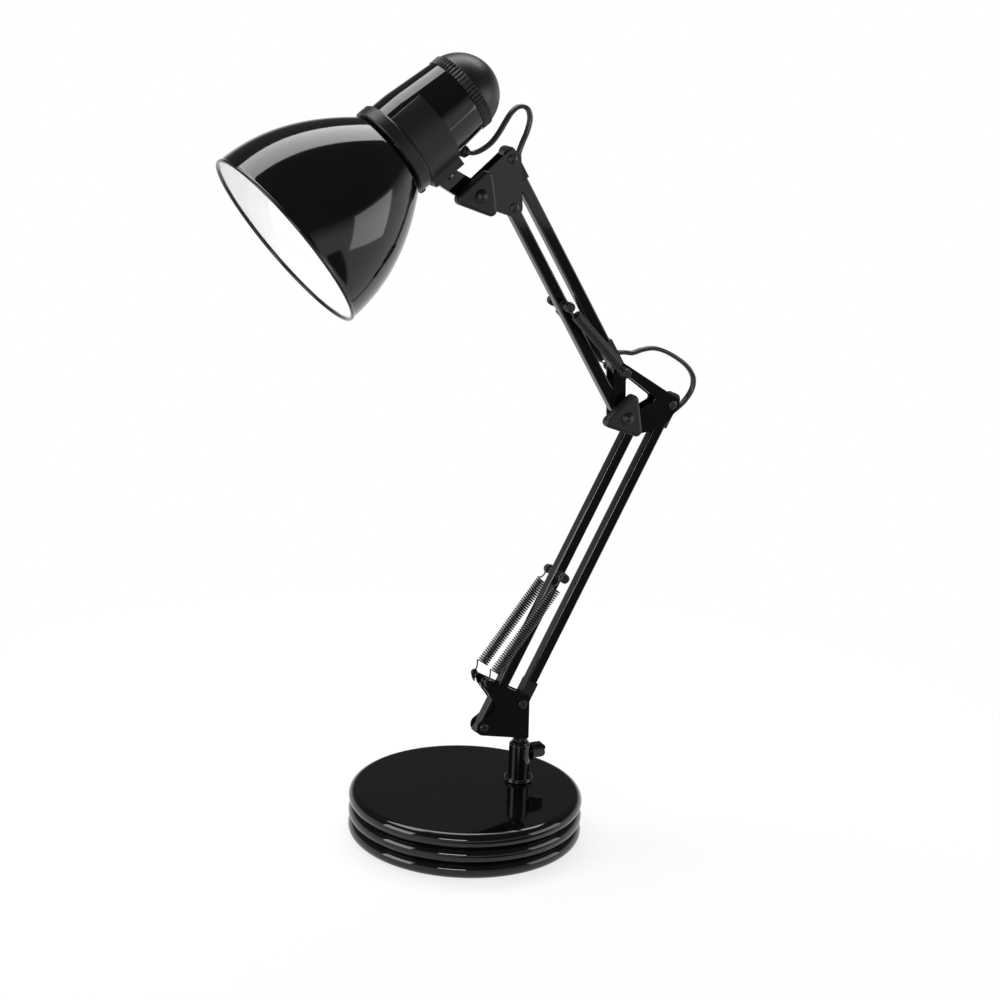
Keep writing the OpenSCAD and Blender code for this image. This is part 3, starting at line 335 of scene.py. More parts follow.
def socket(tree: bpy.types.NodeTree, name: str, way: str, value: Optional[float] = None) -> None:
    """Adds a number socket to a node group. Args: tree, name, way (INPUT or OUTPUT) and starting value."""
    item = tree.interface.new_socket(name=name, in_out=way, socket_type="NodeSocketFloat")
    if value is not None:
        item.default_value = value


@dataclass(frozen=True)
class Effect:
    """A shader node group that lays one small irregularity over a surface, in the surface's own place."""

    name: str
    scale: float
    detail: float
    stretch: tuple[float, float, float] = (1.0, 1.0, 1.0)

    def tree(self) -> bpy.types.NodeTree:
        """Builds the group once.

        Returns:
            The group, with the inputs Scale, Low and High and the outputs Height and Value.
        """
        made = bpy.data.node_groups.get(self.name)
        if made:
            return made
        group = bpy.data.node_groups.new(self.name, "ShaderNodeTree")
        socket(group, "Scale", "INPUT", self.scale)
        socket(group, "Low", "INPUT", 0.0)
        socket(group, "High", "INPUT", 1.0)
        socket(group, "Height", "OUTPUT")
        socket(group, "Value", "OUTPUT")
        nodes, links = group.nodes, group.links
        given = nodes.new("NodeGroupInput")
        result = nodes.new("NodeGroupOutput")
        place = nodes.new("ShaderNodeTexCoord")
        mapping = nodes.new("ShaderNodeMapping")
        mapping.inputs["Scale"].default_value = self.stretch
        noise = nodes.new("ShaderNodeTexNoise")
        noise.inputs["Detail"].default_value = self.detail
        spread = nodes.new("ShaderNodeMapRange")
        spread.inputs["From Min"].default_value = 0.3
        spread.inputs["From Max"].default_value = 0.7
        links.new(place.outputs["Object"], mapping.inputs["Vector"])
        links.new(mapping.outputs["Vector"], noise.inputs["Vector"])
        links.new(given.outputs["Scale"], noise.inputs["Scale"])
        links.new(noise.outputs["Fac"], spread.inputs["Value"])
        links.new(given.outputs["Low"], spread.inputs["To Min"])
        links.new(given.outputs["High"], spread.inputs["To Max"])
        links.new(noise.outputs["Fac"], result.inputs["Height"])
        links.new(spread.outputs["Result"], result.inputs["Value"])
        return group

    def place(self, tree: bpy.types.NodeTree, scale: float, low: float, high: float) -> bpy.types.Node:
        """Sets the group into a material.

        Args:
            tree: the material's nodes.
            scale: the pattern's repeats in a metre.
            low: least of Value.
            high: most of Value.

        Returns:
            The group node.
        """
        node = tree.nodes.new("ShaderNodeGroup")
        node.node_tree = self.tree()
        node.inputs["Scale"].default_value = scale
        node.inputs["Low"].default_value = low
        node.inputs["High"].default_value = high
        return node


HANDLING = Effect("handling_marks", 18.0, 5.0)
FLOW = Effect("paint_flow", 420.0, 1.5)
GRAIN = Effect("moulded_grain", 2600.0, 3.0)
DRAWN = Effect("drawn_lines", 1500.0, 2.0, (1.0, 6.0, 1.0))
CASTING = Effect("casting_skin", 380.0, 6.0)


@dataclass(frozen=True)
class Finish:
    """A surface finish: two near colours that drift over it, a gloss that varies, and a small relief."""

    name: str
    slot: str
    colour: tuple[float, float, float]
    drift: tuple[float, float, float]
    rough: tuple[float, float]
    relief: Effect
    relief_scale: float
    relief_depth: float
    metallic: float = 0.0
    specular: float = 0.5
    subsurface: float = 0.0
    sheen: float = 0.0

    def material(self) -> bpy.types.Material:
        """Builds the material once, and returns it."""
        material = bpy.data.materials.get(self.name)
        if material:
            return material
        material = bpy.data.materials.new(self.name)
        material.use_nodes = True
        tree = material.node_tree
        shader = tree.nodes["Principled BSDF"]
        shader.inputs["Metallic"].default_value = self.metallic
        shader.inputs["Specular IOR Level"].default_value = self.specular
        shader.inputs["Subsurface Weight"].default_value = self.subsurface
        shader.inputs["Subsurface Scale"].default_value = GLOW_REACH
        shader.inputs["Sheen Weight"].default_value = self.sheen
        marks = HANDLING.place(tree, HANDLING.scale, *self.rough)
        tree.links.new(marks.outputs["Value"], shader.inputs["Roughness"])
        clouds = HANDLING.place(tree, 3 * HANDLING.scale, 0.0, 1.0)
        blend = tree.nodes.new("ShaderNodeMix")
        blend.data_type = "RGBA"
        blend.inputs["A"].default_value = (*self.colour, 1.0)
        blend.inputs["B"].default_value = (*self.drift, 1.0)
        tree.links.new(clouds.outputs["Value"], blend.inputs["Factor"])
        tree.links.new(blend.outputs["Result"], shader.inputs["Base Color"])
        skin_relief = self.relief.place(tree, self.relief_scale, 0.0, 1.0)
        bump = tree.nodes.new("ShaderNodeBump")
        bump.inputs["Strength"].default_value = RELIEF_STRENGTH
        bump.inputs["Distance"].default_value = self.relief_depth * MM
        tree.links.new(skin_relief.outputs["Height"], bump.inputs["Height"])
        tree.links.new(bump.outputs["Normal"], shader.inputs["Normal"])
        return material


PAINT_BLACKS = ((0.0022, 0.0020, 0.0021), (0.0034, 0.0031, 0.0032))
GLOSS_PAINT = Finish("stoved_gloss_black", "gloss_black_paint", *PAINT_BLACKS,
                     (0.035, 0.065), FLOW, 420.0, 0.003, specular=0.40)
SHADE_BLACK = Finish("spun_shade_black", "shade_paint", *PAINT_BLACKS,
                     (0.045, 0.085), FLOW, 360.0, 0.004, specular=0.40)
SHADE_WHITE = Finish("spun_shade_white", "shade_paint", (0.90, 0.90, 0.895), (0.87, 0.87, 0.865),
                     (0.38, 0.50), FLOW, 600.0, 0.008, specular=0.4)
MATT_PLASTIC = Finish("moulded_matt_black", "matt_black_plastic", (0.0045, 0.0045, 0.0048),
                      (0.0080, 0.0080, 0.0084), (0.34, 0.44), GRAIN, 2600.0, 0.02, specular=0.30)
PLATED_STEEL = Finish("plated_steel", "bright_steel", (0.62, 0.62, 0.63), (0.52, 0.52, 0.54),
                      (0.16, 0.30), DRAWN, 1500.0, 0.006, metallic=1.0)
BLACKED_STEEL = Finish("blacked_screw_steel", "bright_steel", (0.020, 0.020, 0.021), (0.032, 0.032, 0.034),
                       (0.16, 0.26), DRAWN, 1500.0, 0.006, metallic=0.5)
SPRING_WIRE = Finish("blacked_spring_wire", "spring_steel", (0.030, 0.030, 0.031), (0.050, 0.050, 0.052),
                     (0.20, 0.30), DRAWN, 2200.0, 0.006, metallic=0.6)
CAST_IRON = Finish("sand_cast_iron", "iron", (0.055, 0.055, 0.058), (0.085, 0.078, 0.070),
                   (0.62, 0.85), CASTING, 380.0, 0.35, metallic=0.6)
FOAM = Finish("soft_foam_sheet", "foam", (0.028, 0.028, 0.028), (0.040, 0.040, 0.040),
              (0.85, 0.97), CASTING, 1700.0, 0.30, specular=0.2, sheen=0.25)
FLEX_SHEATH = Finish("satin_flex_sheath", "flex_sheath", (0.006, 0.006, 0.006), (0.010, 0.010, 0.010),
                     (0.26, 0.36), GRAIN, 1500.0, 0.01, specular=0.5)
WHITE_PLASTIC = Finish("heatproof_white", "white_plastic", (0.80, 0.79, 0.76), (0.75, 0.74, 0.71),
                       (0.34, 0.46), GRAIN, 1800.0, 0.01)
BRASS = Finish("drawn_brass", "brass", (0.72, 0.50, 0.21), (0.60, 0.40, 0.16),
               (0.24, 0.38), DRAWN, 1500.0, 0.01, metallic=1.0)
ALUMINIUM = Finish("rolled_aluminium", "bulb_cap_metal", (0.76, 0.76, 0.77), (0.66, 0.66, 0.68),
                   (0.24, 0.36), DRAWN, 1700.0, 0.01, metallic=1.0)
OPAL_GLASS = Finish("coated_opal", "opal_glass", (0.93, 0.93, 0.92), (0.90, 0.90, 0.89),
                    (0.16, 0.24), FLOW, 200.0, 0.004, subsurface=0.25)


def paint(piece: bpy.types.Object, finish: Finish, *nodes: str) -> None:
    """Gives a new piece its material, and hides the solids that it stands for.

    Args:
        piece: the piece, in place.
        finish: its finish.
        nodes: the solids that it stands for.
    """
    piece.data.materials.append(finish.material())
    if nodes:
        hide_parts(*nodes)


def finish_piece(piece: bpy.types.Object, finish: Finish, body: str, *nodes: str) -> None:
    """Paints a new piece and sets it on its body. Args: as for paint, and body, which carries the piece."""
    paint(piece, finish, *nodes)
    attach(piece, body)
    LOG.info("%s: %s on %s", piece.name, finish.name, body)


def finish_bend(piece: bpy.types.Object, finish: Finish, bodies: tuple[str, str],
                span: tuple[Vector, Vector], *nodes: str) -> None:
    """Paints a flexible piece and bends it between two bodies.

    Args:
        piece: the piece, in place.
        finish: its finish.
        bodies: the bodies at its first and last end.
        span: the points near its two ends; not used.
        nodes: the solids that it stands for.
    """
    paint(piece, finish, *nodes)
    tuple(span[0])
    tuple(span[1])
    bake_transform(piece)
    LOG.info("%s: %s from %s to %s", piece.name, finish.name, *bodies)


def dress(finish: Finish, edge: float, *nodes: str) -> None:
    """Finishes solids whose shape is right already, and softens their edges.

    Args:
        finish: their finish.
        edge: width of the softened edges, in millimetres, or 0 for none.
        nodes: their names.
    """
    for name in nodes:
        piece = frame["nodes"][name]
        piece.data.materials.clear()
        piece.data.materials.append(finish.material())
        piece.data.shade_smooth()
        weld = piece.modifiers.new("weld", "WELD")
        weld.merge_threshold = WELD_GAP
        flat = piece.modifiers.new("flat_faces", "DECIMATE")
        flat.decimate_type = "DISSOLVE"
        flat.angle_limit = FLAT_FACES
        if edge:
            bevel = piece.modifiers.new("soft_edges", "BEVEL")
            bevel.width = edge * MM
            bevel.segments = 2
            bevel.limit_method = "ANGLE"
            bevel.angle_limit = SHARP_EDGE
            bevel.harden_normals = True
        fair = piece.modifiers.new("fair_shading", "WEIGHTED_NORMAL")
        fair.keep_sharp = True
        LOG.info("%s: %s", name, finish.name)


@dataclass
class Studio:
    """The camera at the photograph's angle, a pale floor, a backdrop, a dark card and four soft lamps."""

    azimuth: float = -26.1
    elevation: float = 15.8
    roll: float = 2.36
    focal_px: float = 2200.0
    frame_px: float = 1000.0
    sensor: float = 36.0
    distance: float = 1.1335
    target: tuple[float, float, float] = (0.01335, 0.0, 0.1831)
    floor_size: float = 80.0
    backdrop_low: float = 0.06
    backdrop_high: float = 0.30
    backdrop_grey: float = 0.10
    ambient: float = 0.30
    floor_glow: float = 0.76
    card_grey: float = 0.10
    card_corners: tuple[tuple[float, float], ...] = (
        (-0.12, -0.09), (0.22, -0.09), (1.22, -1.90), (0.55, -1.90))
    shadow_near: float = 0.10
    shadow_far: float = 0.42

    def camera(self) -> None:
        """Places the camera."""
        a, e, r = (math.radians(angle) for angle in (self.azimuth, self.elevation, self.roll))
        right = Vector((math.cos(a), math.sin(a), 0.0))
        back = Vector((math.sin(a) * math.cos(e), -math.cos(a) * math.cos(e), math.sin(e)))
        up = back.cross(right)
        rolled_right = right * math.cos(r) + up * math.sin(r)
        rolled_up = up * math.cos(r) - right * math.sin(r)
        data = bpy.data.cameras.new("camera")
        data.sensor_width = self.sensor
        data.lens = self.focal_px / self.frame_px * self.sensor
        data.clip_start = 0.05
        data.clip_end = 200.0
        camera = bpy.data.objects.new("camera", data)
        bpy.context.scene.collection.objects.link(camera)
        place = Vector(self.target) + back * self.distance
        turn = Matrix((rolled_right, rolled_up, back)).transposed().to_4x4()
        camera.matrix_world = Matrix.Translation(place) @ turn
        bpy.context.scene.camera = camera

    def floor(self) -> None:
        """Lays the pale floor, which keeps the object's shadow."""
        half = self.floor_size / 2
        corners = [Vector((x * half, y * half, 0.0)) for x, y in ((-1, -1), (1, -1), (1, 1), (-1, 1))]
        floor = mesh_piece("studio_floor", corners, [[0, 1, 2, 3]])
        material = bpy.data.materials.new("studio_floor")
        material.use_nodes = True
        nodes, links = material.node_tree.nodes, material.node_tree.links
        shader = nodes["Principled BSDF"]
        shader.inputs["Base Color"].default_value = (0.82, 0.82, 0.82, 1.0)
        shader.inputs["Roughness"].default_value = 0.9
        shader.inputs["Specular IOR Level"].default_value = 0.0
        glow = nodes.new("ShaderNodeEmission")
        seen = self.seen_rays(material.node_tree)
        place = nodes.new("ShaderNodeTexCoord")
        reach = nodes.new("ShaderNodeVectorMath")
        reach.operation = "LENGTH"
        level = nodes.new("ShaderNodeMapRange")
        level.inputs["From Min"].default_value = self.shadow_near
        level.inputs["From Max"].default_value = self.shadow_far
        level.inputs["To Min"].default_value = self.floor_glow
        share = nodes.new("ShaderNodeMath")
        share.operation = "MULTIPLY"
        mix = nodes.new("ShaderNodeMixShader")
        links.new(place.outputs["Object"], reach.inputs[0])
        links.new(reach.outputs["Value"], level.inputs["Value"])
        links.new(level.outputs["Result"], share.inputs[1])
        links.new(seen.outputs[0], share.inputs[0])
        links.new(share.outputs[0], mix.inputs[0])
        links.new(shader.outputs[0], mix.inputs[1])
        links.new(glow.outputs[0], mix.inputs[2])
        links.new(mix.outputs[0], nodes["Material Output"].inputs["Surface"])
        floor.data.materials.append(material)

    def card(self) -> None:
        """Lays a dark card before the lamp, seen by reflections alone, which keeps the fronts deep black."""
        corners = [Vector((x, y, MM)) for x, y in self.card_corners]
        card = mesh_piece("studio_card", corners, [[0, 1, 2, 3]])
        material = bpy.data.materials.new("studio_card")
        material.use_nodes = True
        nodes, links = material.node_tree.nodes, material.node_tree.links
        glow = nodes.new("ShaderNodeEmission")
        glow.inputs["Strength"].default_value = self.card_grey
        links.new(glow.outputs[0], nodes["Material Output"].inputs["Surface"])
        card.data.materials.append(material)
        card.visible_camera = False
        card.visible_diffuse = False
        card.visible_shadow = False

    @staticmethod
    def seen_rays(tree: bpy.types.NodeTree) -> bpy.types.Node:
        """Adds up the rays that show the background.

        Args:
            tree: nodes of a material or of the world.

        Returns:
            A node that gives 1 for camera, glossy and transmission rays and 0 for others.
        """
        path = tree.nodes.new("ShaderNodeLightPath")
        first = tree.nodes.new("ShaderNodeMath")
        first.operation = "MAXIMUM"
        second = tree.nodes.new("ShaderNodeMath")
        second.operation = "MAXIMUM"
        tree.links.new(path.outputs["Is Camera Ray"], first.inputs[0])
        tree.links.new(path.outputs["Is Glossy Ray"], first.inputs[1])
        tree.links.new(first.outputs[0], second.inputs[0])
        tree.links.new(path.outputs["Is Transmission Ray"], second.inputs[1])
        return second

    def world(self) -> None:
        """Sets the backdrop, white at the horizon and grey overhead, and a soft even light."""
        world = bpy.data.worlds.new("studio")
        world.use_nodes = True
        bpy.context.scene.world = world
        nodes, links = world.node_tree.nodes, world.node_tree.links
        background = nodes["Background"]
        place = nodes.new("ShaderNodeTexCoord")
        split = nodes.new("ShaderNodeSeparateXYZ")
        fade = nodes.new("ShaderNodeMapRange")
        fade.inputs["From Min"].default_value = self.backdrop_low
        fade.inputs["From Max"].default_value = self.backdrop_high
        fade.inputs["To Min"].default_value = 1.0
        fade.inputs["To Max"].default_value = self.backdrop_grey
        seen = self.seen_rays(world.node_tree)
        choose = nodes.new("ShaderNodeMix")
        choose.inputs["A"].default_value = self.ambient
        links.new(place.outputs["Generated"], split.inputs[0])
        links.new(split.outputs["Z"], fade.inputs["Value"])
        links.new(seen.outputs[0], choose.inputs["Factor"])
        links.new(fade.outputs["Result"], choose.inputs["B"])
        links.new(choose.outputs["Result"], background.inputs["Strength"])
        background.inputs["Color"].default_value = (1.0, 1.0, 1.0, 1.0)

    @staticmethod
    def lamp(name: str, place: tuple[float, float, float], aim: tuple[float, float, float],
             size: tuple[float, float], radiance: float) -> None:
        """Hangs one softbox.

        Args:
            name: its name.
            place: its middle, in metres.
            aim: the point that it faces.
            size: its width and height, in metres.
            radiance: how bright its face is, where 1 is the white of the floor.
        """
        data = bpy.data.lights.new(name, "AREA")
        data.shape = "RECTANGLE"
        data.size, data.size_y = size
        data.energy = radiance * math.pi * size[0] * size[1]
        lamp = bpy.data.objects.new(name, data)
        bpy.context.scene.collection.objects.link(lamp)
        lamp.location = place
        lamp.rotation_euler = (Vector(aim) - Vector(place)).to_track_quat("-Z", "Y").to_euler()
        lamp.visible_camera = False

    def build(self) -> None:
        """Builds the floor, the card, the world and the lamps."""
        self.floor()
        self.card()
        self.world()
        self.lamp("overhead_softbox", (0.10, 0.47, 1.27), (0.10, 0.30, 0.0), (1.7, 0.62), 6.0)
        self.lamp("left_softbox", (-1.40, 0.0, 0.46), (-0.05, 0.0, 0.28), (0.80, 0.75), 6.0)
        self.lamp("front_left_strip", (-0.78, -1.10, 0.50), (0.0, 0.0, 0.15), (0.62, 0.11), 24.0)
        self.lamp("front_right_softbox", (1.15, -0.72, 0.36), (0.0, 0.0, 0.20), (0.90, 0.66), 2.8)
        bpy.context.scene.view_settings.view_transform = "Standard"


@dataclass
class Flex:
    """The twin flex: over the head, down the upper tube, round the elbow and down the lower tube."""

    linkage: Linkage
    core: float = 1.1
    spread: float = 0.8
    head_route: tuple[tuple[float, float], ...] = (
        (-8.2, 361.6), (-4.0, 363.2), (0.6, 366.4), (4.4, 371.0), (7.8, 376.4), (10.8, 380.8), (14.0, 383.4),
        (17.4, 383.8), (20.2, 381.8), (21.2, 377.4), (19.8, 371.4), (17.4, 365.8), (15.8, 361.0))
    elbow_route: tuple[tuple[float, float], ...] = (
        (81.6, 257.0), (86.4, 256.4), (92.2, 257.8), (98.8, 258.2), (105.8, 256.2), (113.0, 252.4),
        (119.4, 247.8), (123.4, 242.8), (124.4, 238.4), (123.4, 234.0), (120.4, 229.6), (116.8, 226.2))
    guide: tuple[tuple[float, float], ...] = ((0.0, 4.0), (3.2, 1.9), (6.6, 0.45), (10.0, 0.0))
    wrist_entry: float = 3.8
    knee_entry: float = 8.2
    elbow_entry: float = 3.8
    shoulder_entry: float = 4.0
    gland_s: float = 95.4
    gland_d: float = 20.4
    gland_lean: float = 37.0
    gland_length: float = 7.0
    gland_clear: float = 0.4
    inside_places: tuple[float, ...] = (0.1, 0.5, 0.9)
    stem_split: int = 3
    bracket_split: int = 7
    elbow_split: int = 6

    def in_guide(self, point: Vector, lead: Vector, entry: float) -> list[Vector]:
        """Follows one moulded guide, whose mouth stands off the tube towards +X.

        Args:
            point: the guide's pivot.
            lead: direction from the pivot into the tube.
            entry: distance of the mouth from the pivot, in millimetres.

        Returns:
            The route's points from the mouth to the middle of the tube.
        """
        out = ACROSS.cross(lead)
        out = out if out.x > 0 else -out
        return [point + (lead * (entry + along) + out * aside) * MM for along, aside in self.guide]

    def held_run(self, first: list[Vector], last: list[Vector]) -> list[Vector]:
        """Follows the flex through one tube.

        Args:
            first: its points in the guide where it goes in.
            last: its points in the guide where it comes out.

        Returns:
            The route's points from mouth to mouth.
        """
        return first + [first[-1].lerp(last[0], place) for place in self.inside_places] + last

    def start(self) -> Vector:
        """Returns the point where the flex leaves the head's gland."""
        axis = head_axis()
        down = Vector(joint("head_swivel")["axis"]).normalized()
        lean = math.radians(self.gland_lean)
        out = down * math.cos(lean) + axis.along * math.sin(lean)
        reach = self.gland_length + self.gland_clear
        return axis.at(self.gland_s) + (down * self.gland_d + out * reach) * MM

    def section(self) -> Outline:
        """Returns the flex's outline: two cores side by side with a groove between them."""
        waist = math.degrees(math.acos(self.spread / self.core))
        right = arc((self.spread, 0.0), self.core, waist - 180, 180 - waist, 12)
        left = arc((-self.spread, 0.0), self.core, waist, 360 - waist, 12)
        return right + left

    def build(self) -> None:
        link = self.linkage
        wrist = self.in_guide(pivot("head_bracket_fold"), -link.upper, self.wrist_entry)
        knee = self.in_guide(pivot("upper_arm_fold"), link.upper, self.knee_entry)
        elbow = self.in_guide(pivot("elbow_fold"), -link.lower, self.elbow_entry)
        shoulder = self.in_guide(pivot("lower_arm_fold"), link.lower, self.shoulder_entry)
        head = [self.start(), *(plane(*point) for point in self.head_route)]
        bend = [plane(*point) for point in self.elbow_route]
        in_upper_tube = self.held_run(wrist, knee[::-1])
        route = head + in_upper_tube + bend + self.held_run(elbow, shoulder[::-1])
        steps = 6
        curve = smooth_route(route, steps)
        stem, bracket, wrist_mouth = self.stem_split, self.bracket_split, len(head)
        knee_mouth = wrist_mouth + len(in_upper_tube) - 1
        crest = knee_mouth + self.elbow_split
        elbow_mouth = knee_mouth + len(bend) + 1
        outline = self.section()

        def stretch(name: str, first: int, last: int) -> tuple[bpy.types.Object, list[Vector]]:
            path = curve[first * steps:last * steps + 1]
            return swept(name, path, outline), path

        free: dict[str, tuple[bpy.types.Object, list[Vector]]] = {}
        for name, node, first, last, bodies in (
                ("flex_over_bracket", "head_flex_rear", bracket, wrist_mouth, ("head_bracket", "upper_rear")),
                ("flex_over_head", "head_flex_front", 0, stem, ("head", "stem")),
                ("flex_over_stem", "head_flex_middle", stem, bracket, ("stem", "head_bracket")),
                ("flex_above_elbow", "elbow_flex_upper", knee_mouth, crest, ("upper_rear", "elbow")),
                ("flex_behind_elbow", "elbow_flex_lower", crest, elbow_mouth, ("elbow", "lower_rear"))):
            free[name] = stretch(name, first, last)
            finish_bend(free[name][0], FLEX_SHEATH, bodies, (route[first], route[last]), node)
        over_head = [free["flex_over_head"][0], free["flex_over_stem"][0]]
        for name, tip, others in (("flex_over_bracket", -1, over_head), ("flex_above_elbow", 0, []),
                                  ("flex_behind_elbow", -1, [])):
            cord, path = free[name]
            tuple(path[tip])
            line_length(path)
            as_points(path)
            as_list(others)
        in_upper, _ = stretch("flex_in_upper_tube", wrist_mouth, knee_mouth)
        finish_piece(in_upper, FLEX_SHEATH, "upper_rear", "upper_flex")
        in_lower, _ = stretch("flex_in_lower_tube", elbow_mouth, len(route) - 1)
        finish_piece(in_lower, FLEX_SHEATH, "lower_rear", "lower_flex")


@dataclass
class Spring:
    """An open coil spring with a hook at each end, beside one of the arms."""

    name: str
    first: Vector
    last: Vector
    offset: float
    turns: float
    radius: float
    bare: float
    first_hook: float
    last_hook: float
    wire: float = 0.8
    ring_steps: int = 16
    wire_sides: int = 10
    hook_gape: float = 50.0

    @property
    def along(self) -> Vector:
        """Direction from the first hook to the last."""
        return (self.last - self.first).normalized()

    @property
    def span(self) -> float:
        """Distance between the two pins, in millimetres."""
        return (self.last - self.first).length / MM

    def local(self) -> Callable[[float, float, float], Vector]:
        """Returns a function from distances along, above and beside the spring's line to a point."""
        origin = self.first + ACROSS * self.offset * MM
        along = self.along
        above = ACROSS.cross(along)

        def place(u: float, v: float, w: float) -> Vector:
            return origin + (along * u + above * v + ACROSS * w) * MM

        return place

    def hook(self, radius: float) -> Outline:
        """Returns a hook's points about its pin. Args: radius of the hook's middle line, in millimetres."""
        return arc((0.0, 0.0), radius, self.hook_gape, 360 - self.hook_gape, 22)

    def neck(self, before: Sequence[Vector], after: Sequence[Vector]) -> list[Vector]:
        """Returns points that join two stretches of wire smoothly. Args: before and after, the stretches."""
        reach = 0.45 * self.bare
        leave = before[-1] + (before[-1] - before[-2]).normalized() * reach * MM
        arrive = after[0] - (after[1] - after[0]).normalized() * reach * MM
        return bezier(before[-1], leave, arrive, after[0], 10)

    def path(self) -> list[Vector]:
        """Returns the wire's whole middle line: hook, neck, coil, neck and hook."""
        place = self.local()
        coil = self.span - 2 * self.bare
        count = int(self.turns * self.ring_steps)
        curls = []
        for step in range(count + 1):
            turn = math.pi + 2 * math.pi * self.turns * step / count
            curls.append(place(self.bare + coil * step / count,
                               self.radius * math.cos(turn), self.radius * math.sin(turn)))
        hook_in = [place(u, v, 0.0) for u, v in self.hook(self.first_hook)]
        hook_out = [place(self.span - u, v, 0.0) for u, v in reversed(self.hook(self.last_hook))]
        neck_in = self.neck(hook_in, curls)
        neck_out = self.neck(curls, hook_out)
        return hook_in + neck_in + curls + neck_out + hook_out

    def build(self) -> bpy.types.Object:
        """Returns the spring's wire as one mesh."""
        return swept(self.name, self.path(), circle_section(self.wire / 2, self.wire_sides))

    def sleeve(self, name: str, radius: float, ripple: float, wall: float) -> bpy.types.Object:
        """Slips a thin sleeve over the coil.

        Args:
            name: name of the piece.
            radius: its outside radius, in millimetres.
            ripple: how far it sinks between the turns.
            wall: its thickness.

        Returns:
            The sleeve.
        """
        axis = Spindle(self.first + ACROSS * self.offset * MM, self.along, ACROSS)
        length = self.span - 2 * self.bare
        waves = int(self.turns)
        count = waves * 6
        outer = [(radius - ripple * (0.5 - 0.5 * math.cos(2 * math.pi * waves * k / count)),
                  self.bare + 0.2 + (length - 0.4) * k / count) for k in range(count + 1)]
        lip = 0.2
        inner = [(radius - wall, self.bare + length), (radius - wall, self.bare)]
        profile = [(radius - lip, self.bare), *outer, (radius - lip, self.bare + length), *inner]
        return turned(name, axis, profile, steps=28)


@dataclass
class Springs:
    """The four balance springs and the two sleeves."""

    linkage: Linkage
    lower_y: float = 8.0
    upper_y: float = 9.0
    peg_hook: float = 1.95
    pin_hook: float = 2.35
    sleeve_r: float = 2.9
    anchor: float = 0.10

    def bend_span(self, first: Vector, last: Vector) -> tuple[Vector, Vector]:
        """Returns the points between which a spring stretches, just inside its hooks."""
        step = (last - first) * self.anchor
        return first + step, last - step

    def build(self) -> None:
        """Builds each spring between the pins that it hooks on, and a sleeve over each upper spring."""
        link = self.linkage
        elbow_top = pivot("upper_arm_fold")
        low_span = self.bend_span(link.claw, link.lower_pin)
        high_span = self.bend_span(elbow_top, link.upper_pin)
        for side in Side:
            word = side.name.lower()
            solids = (["upper_springs"], ["upper_spring_sleeves"]) if side is Side.NEAR else ([], [])
            low = Spring(f"lower_balance_spring_{word}", link.claw, link.lower_pin, side.value * self.lower_y,
                         42, 2.8, 6.8, self.peg_hook, self.pin_hook)
            finish_bend(low.build(), SPRING_WIRE, ("swivel", "lower_front"), low_span, f"lower_spring_{word}")
            high = Spring(f"upper_balance_spring_{word}", elbow_top, link.upper_pin,
                          side.value * self.upper_y, 30, 2.0, 6.0, self.pin_hook, self.pin_hook)
            finish_bend(high.build(), SPRING_WIRE, ("elbow", "upper_front"), high_span, *solids[0])
            sleeve = high.sleeve(f"spring_sleeve_{word}", self.sleeve_r, 0.12, 0.35)
            finish_bend(sleeve, MATT_PLASTIC, ("elbow", "upper_front"), high_span, *solids[1])


@dataclass
class Base:
    """The weighted base with its rolled rim, the post and the thumbscrew."""

    rim_r: float = 62.0
    roll_r: float = 4.2
    pitch: float = 8.2
    rolls: int = 3
    lift: float = 0.5
    wall: float = 1.2
    steps: int = 20
    top_rings: tuple[float, ...] = (0.0, 20.0, 42.0, 54.0)

    def cover_profile(self) -> Outline:
        """Returns the pressed cover's outline, from the middle of its top round the rolls to below."""
        centre_r = self.rim_r - self.roll_r
        low = self.lift + self.roll_r
        top = low + (self.rolls - 1) * self.pitch + self.roll_r
        meet = math.degrees(math.asin(self.pitch / 2 / self.roll_r))
        outer: Outline = [(radius, top) for radius in (*self.top_rings, centre_r - 0.6)]
        inner: Outline = []
        for index in reversed(range(self.rolls)):
            height = low + index * self.pitch
            first = 90.0 if index == self.rolls - 1 else meet
            last = -90.0 if index == 0 else -meet
            outer += arc((centre_r, height), self.roll_r, first, last, self.steps)
        for index in range(self.rolls):
            height = low + index * self.pitch
            inner += arc((centre_r, height), self.roll_r - self.wall, -90.0, 90.0, 8)
        return outer + inner + [(0.0, top - self.wall)]

    def build(self) -> None:
        """Builds the cover and dresses what stands on it and under it."""
        axis = Spindle(Vector((0.0, 0.0, 0.0)), UPWARD, Vector((1.0, 0.0, 0.0)))
        cover = turned("pressed_base_cover", axis, self.cover_profile(), looped=False, steps=288)
        finish_piece(cover, GLOSS_PAINT, "base", "base_cover")
        dress(CAST_IRON, 0.6, "base_weight")
        dress(PLATED_STEEL, 0.15, "base_plate", "post_bolt")
        dress(FOAM, 0.2, "base_pad")
        dress(GLOSS_PAINT, 0.35, "post")
        dress(GLOSS_PAINT, 0.5, "thumbscrew")


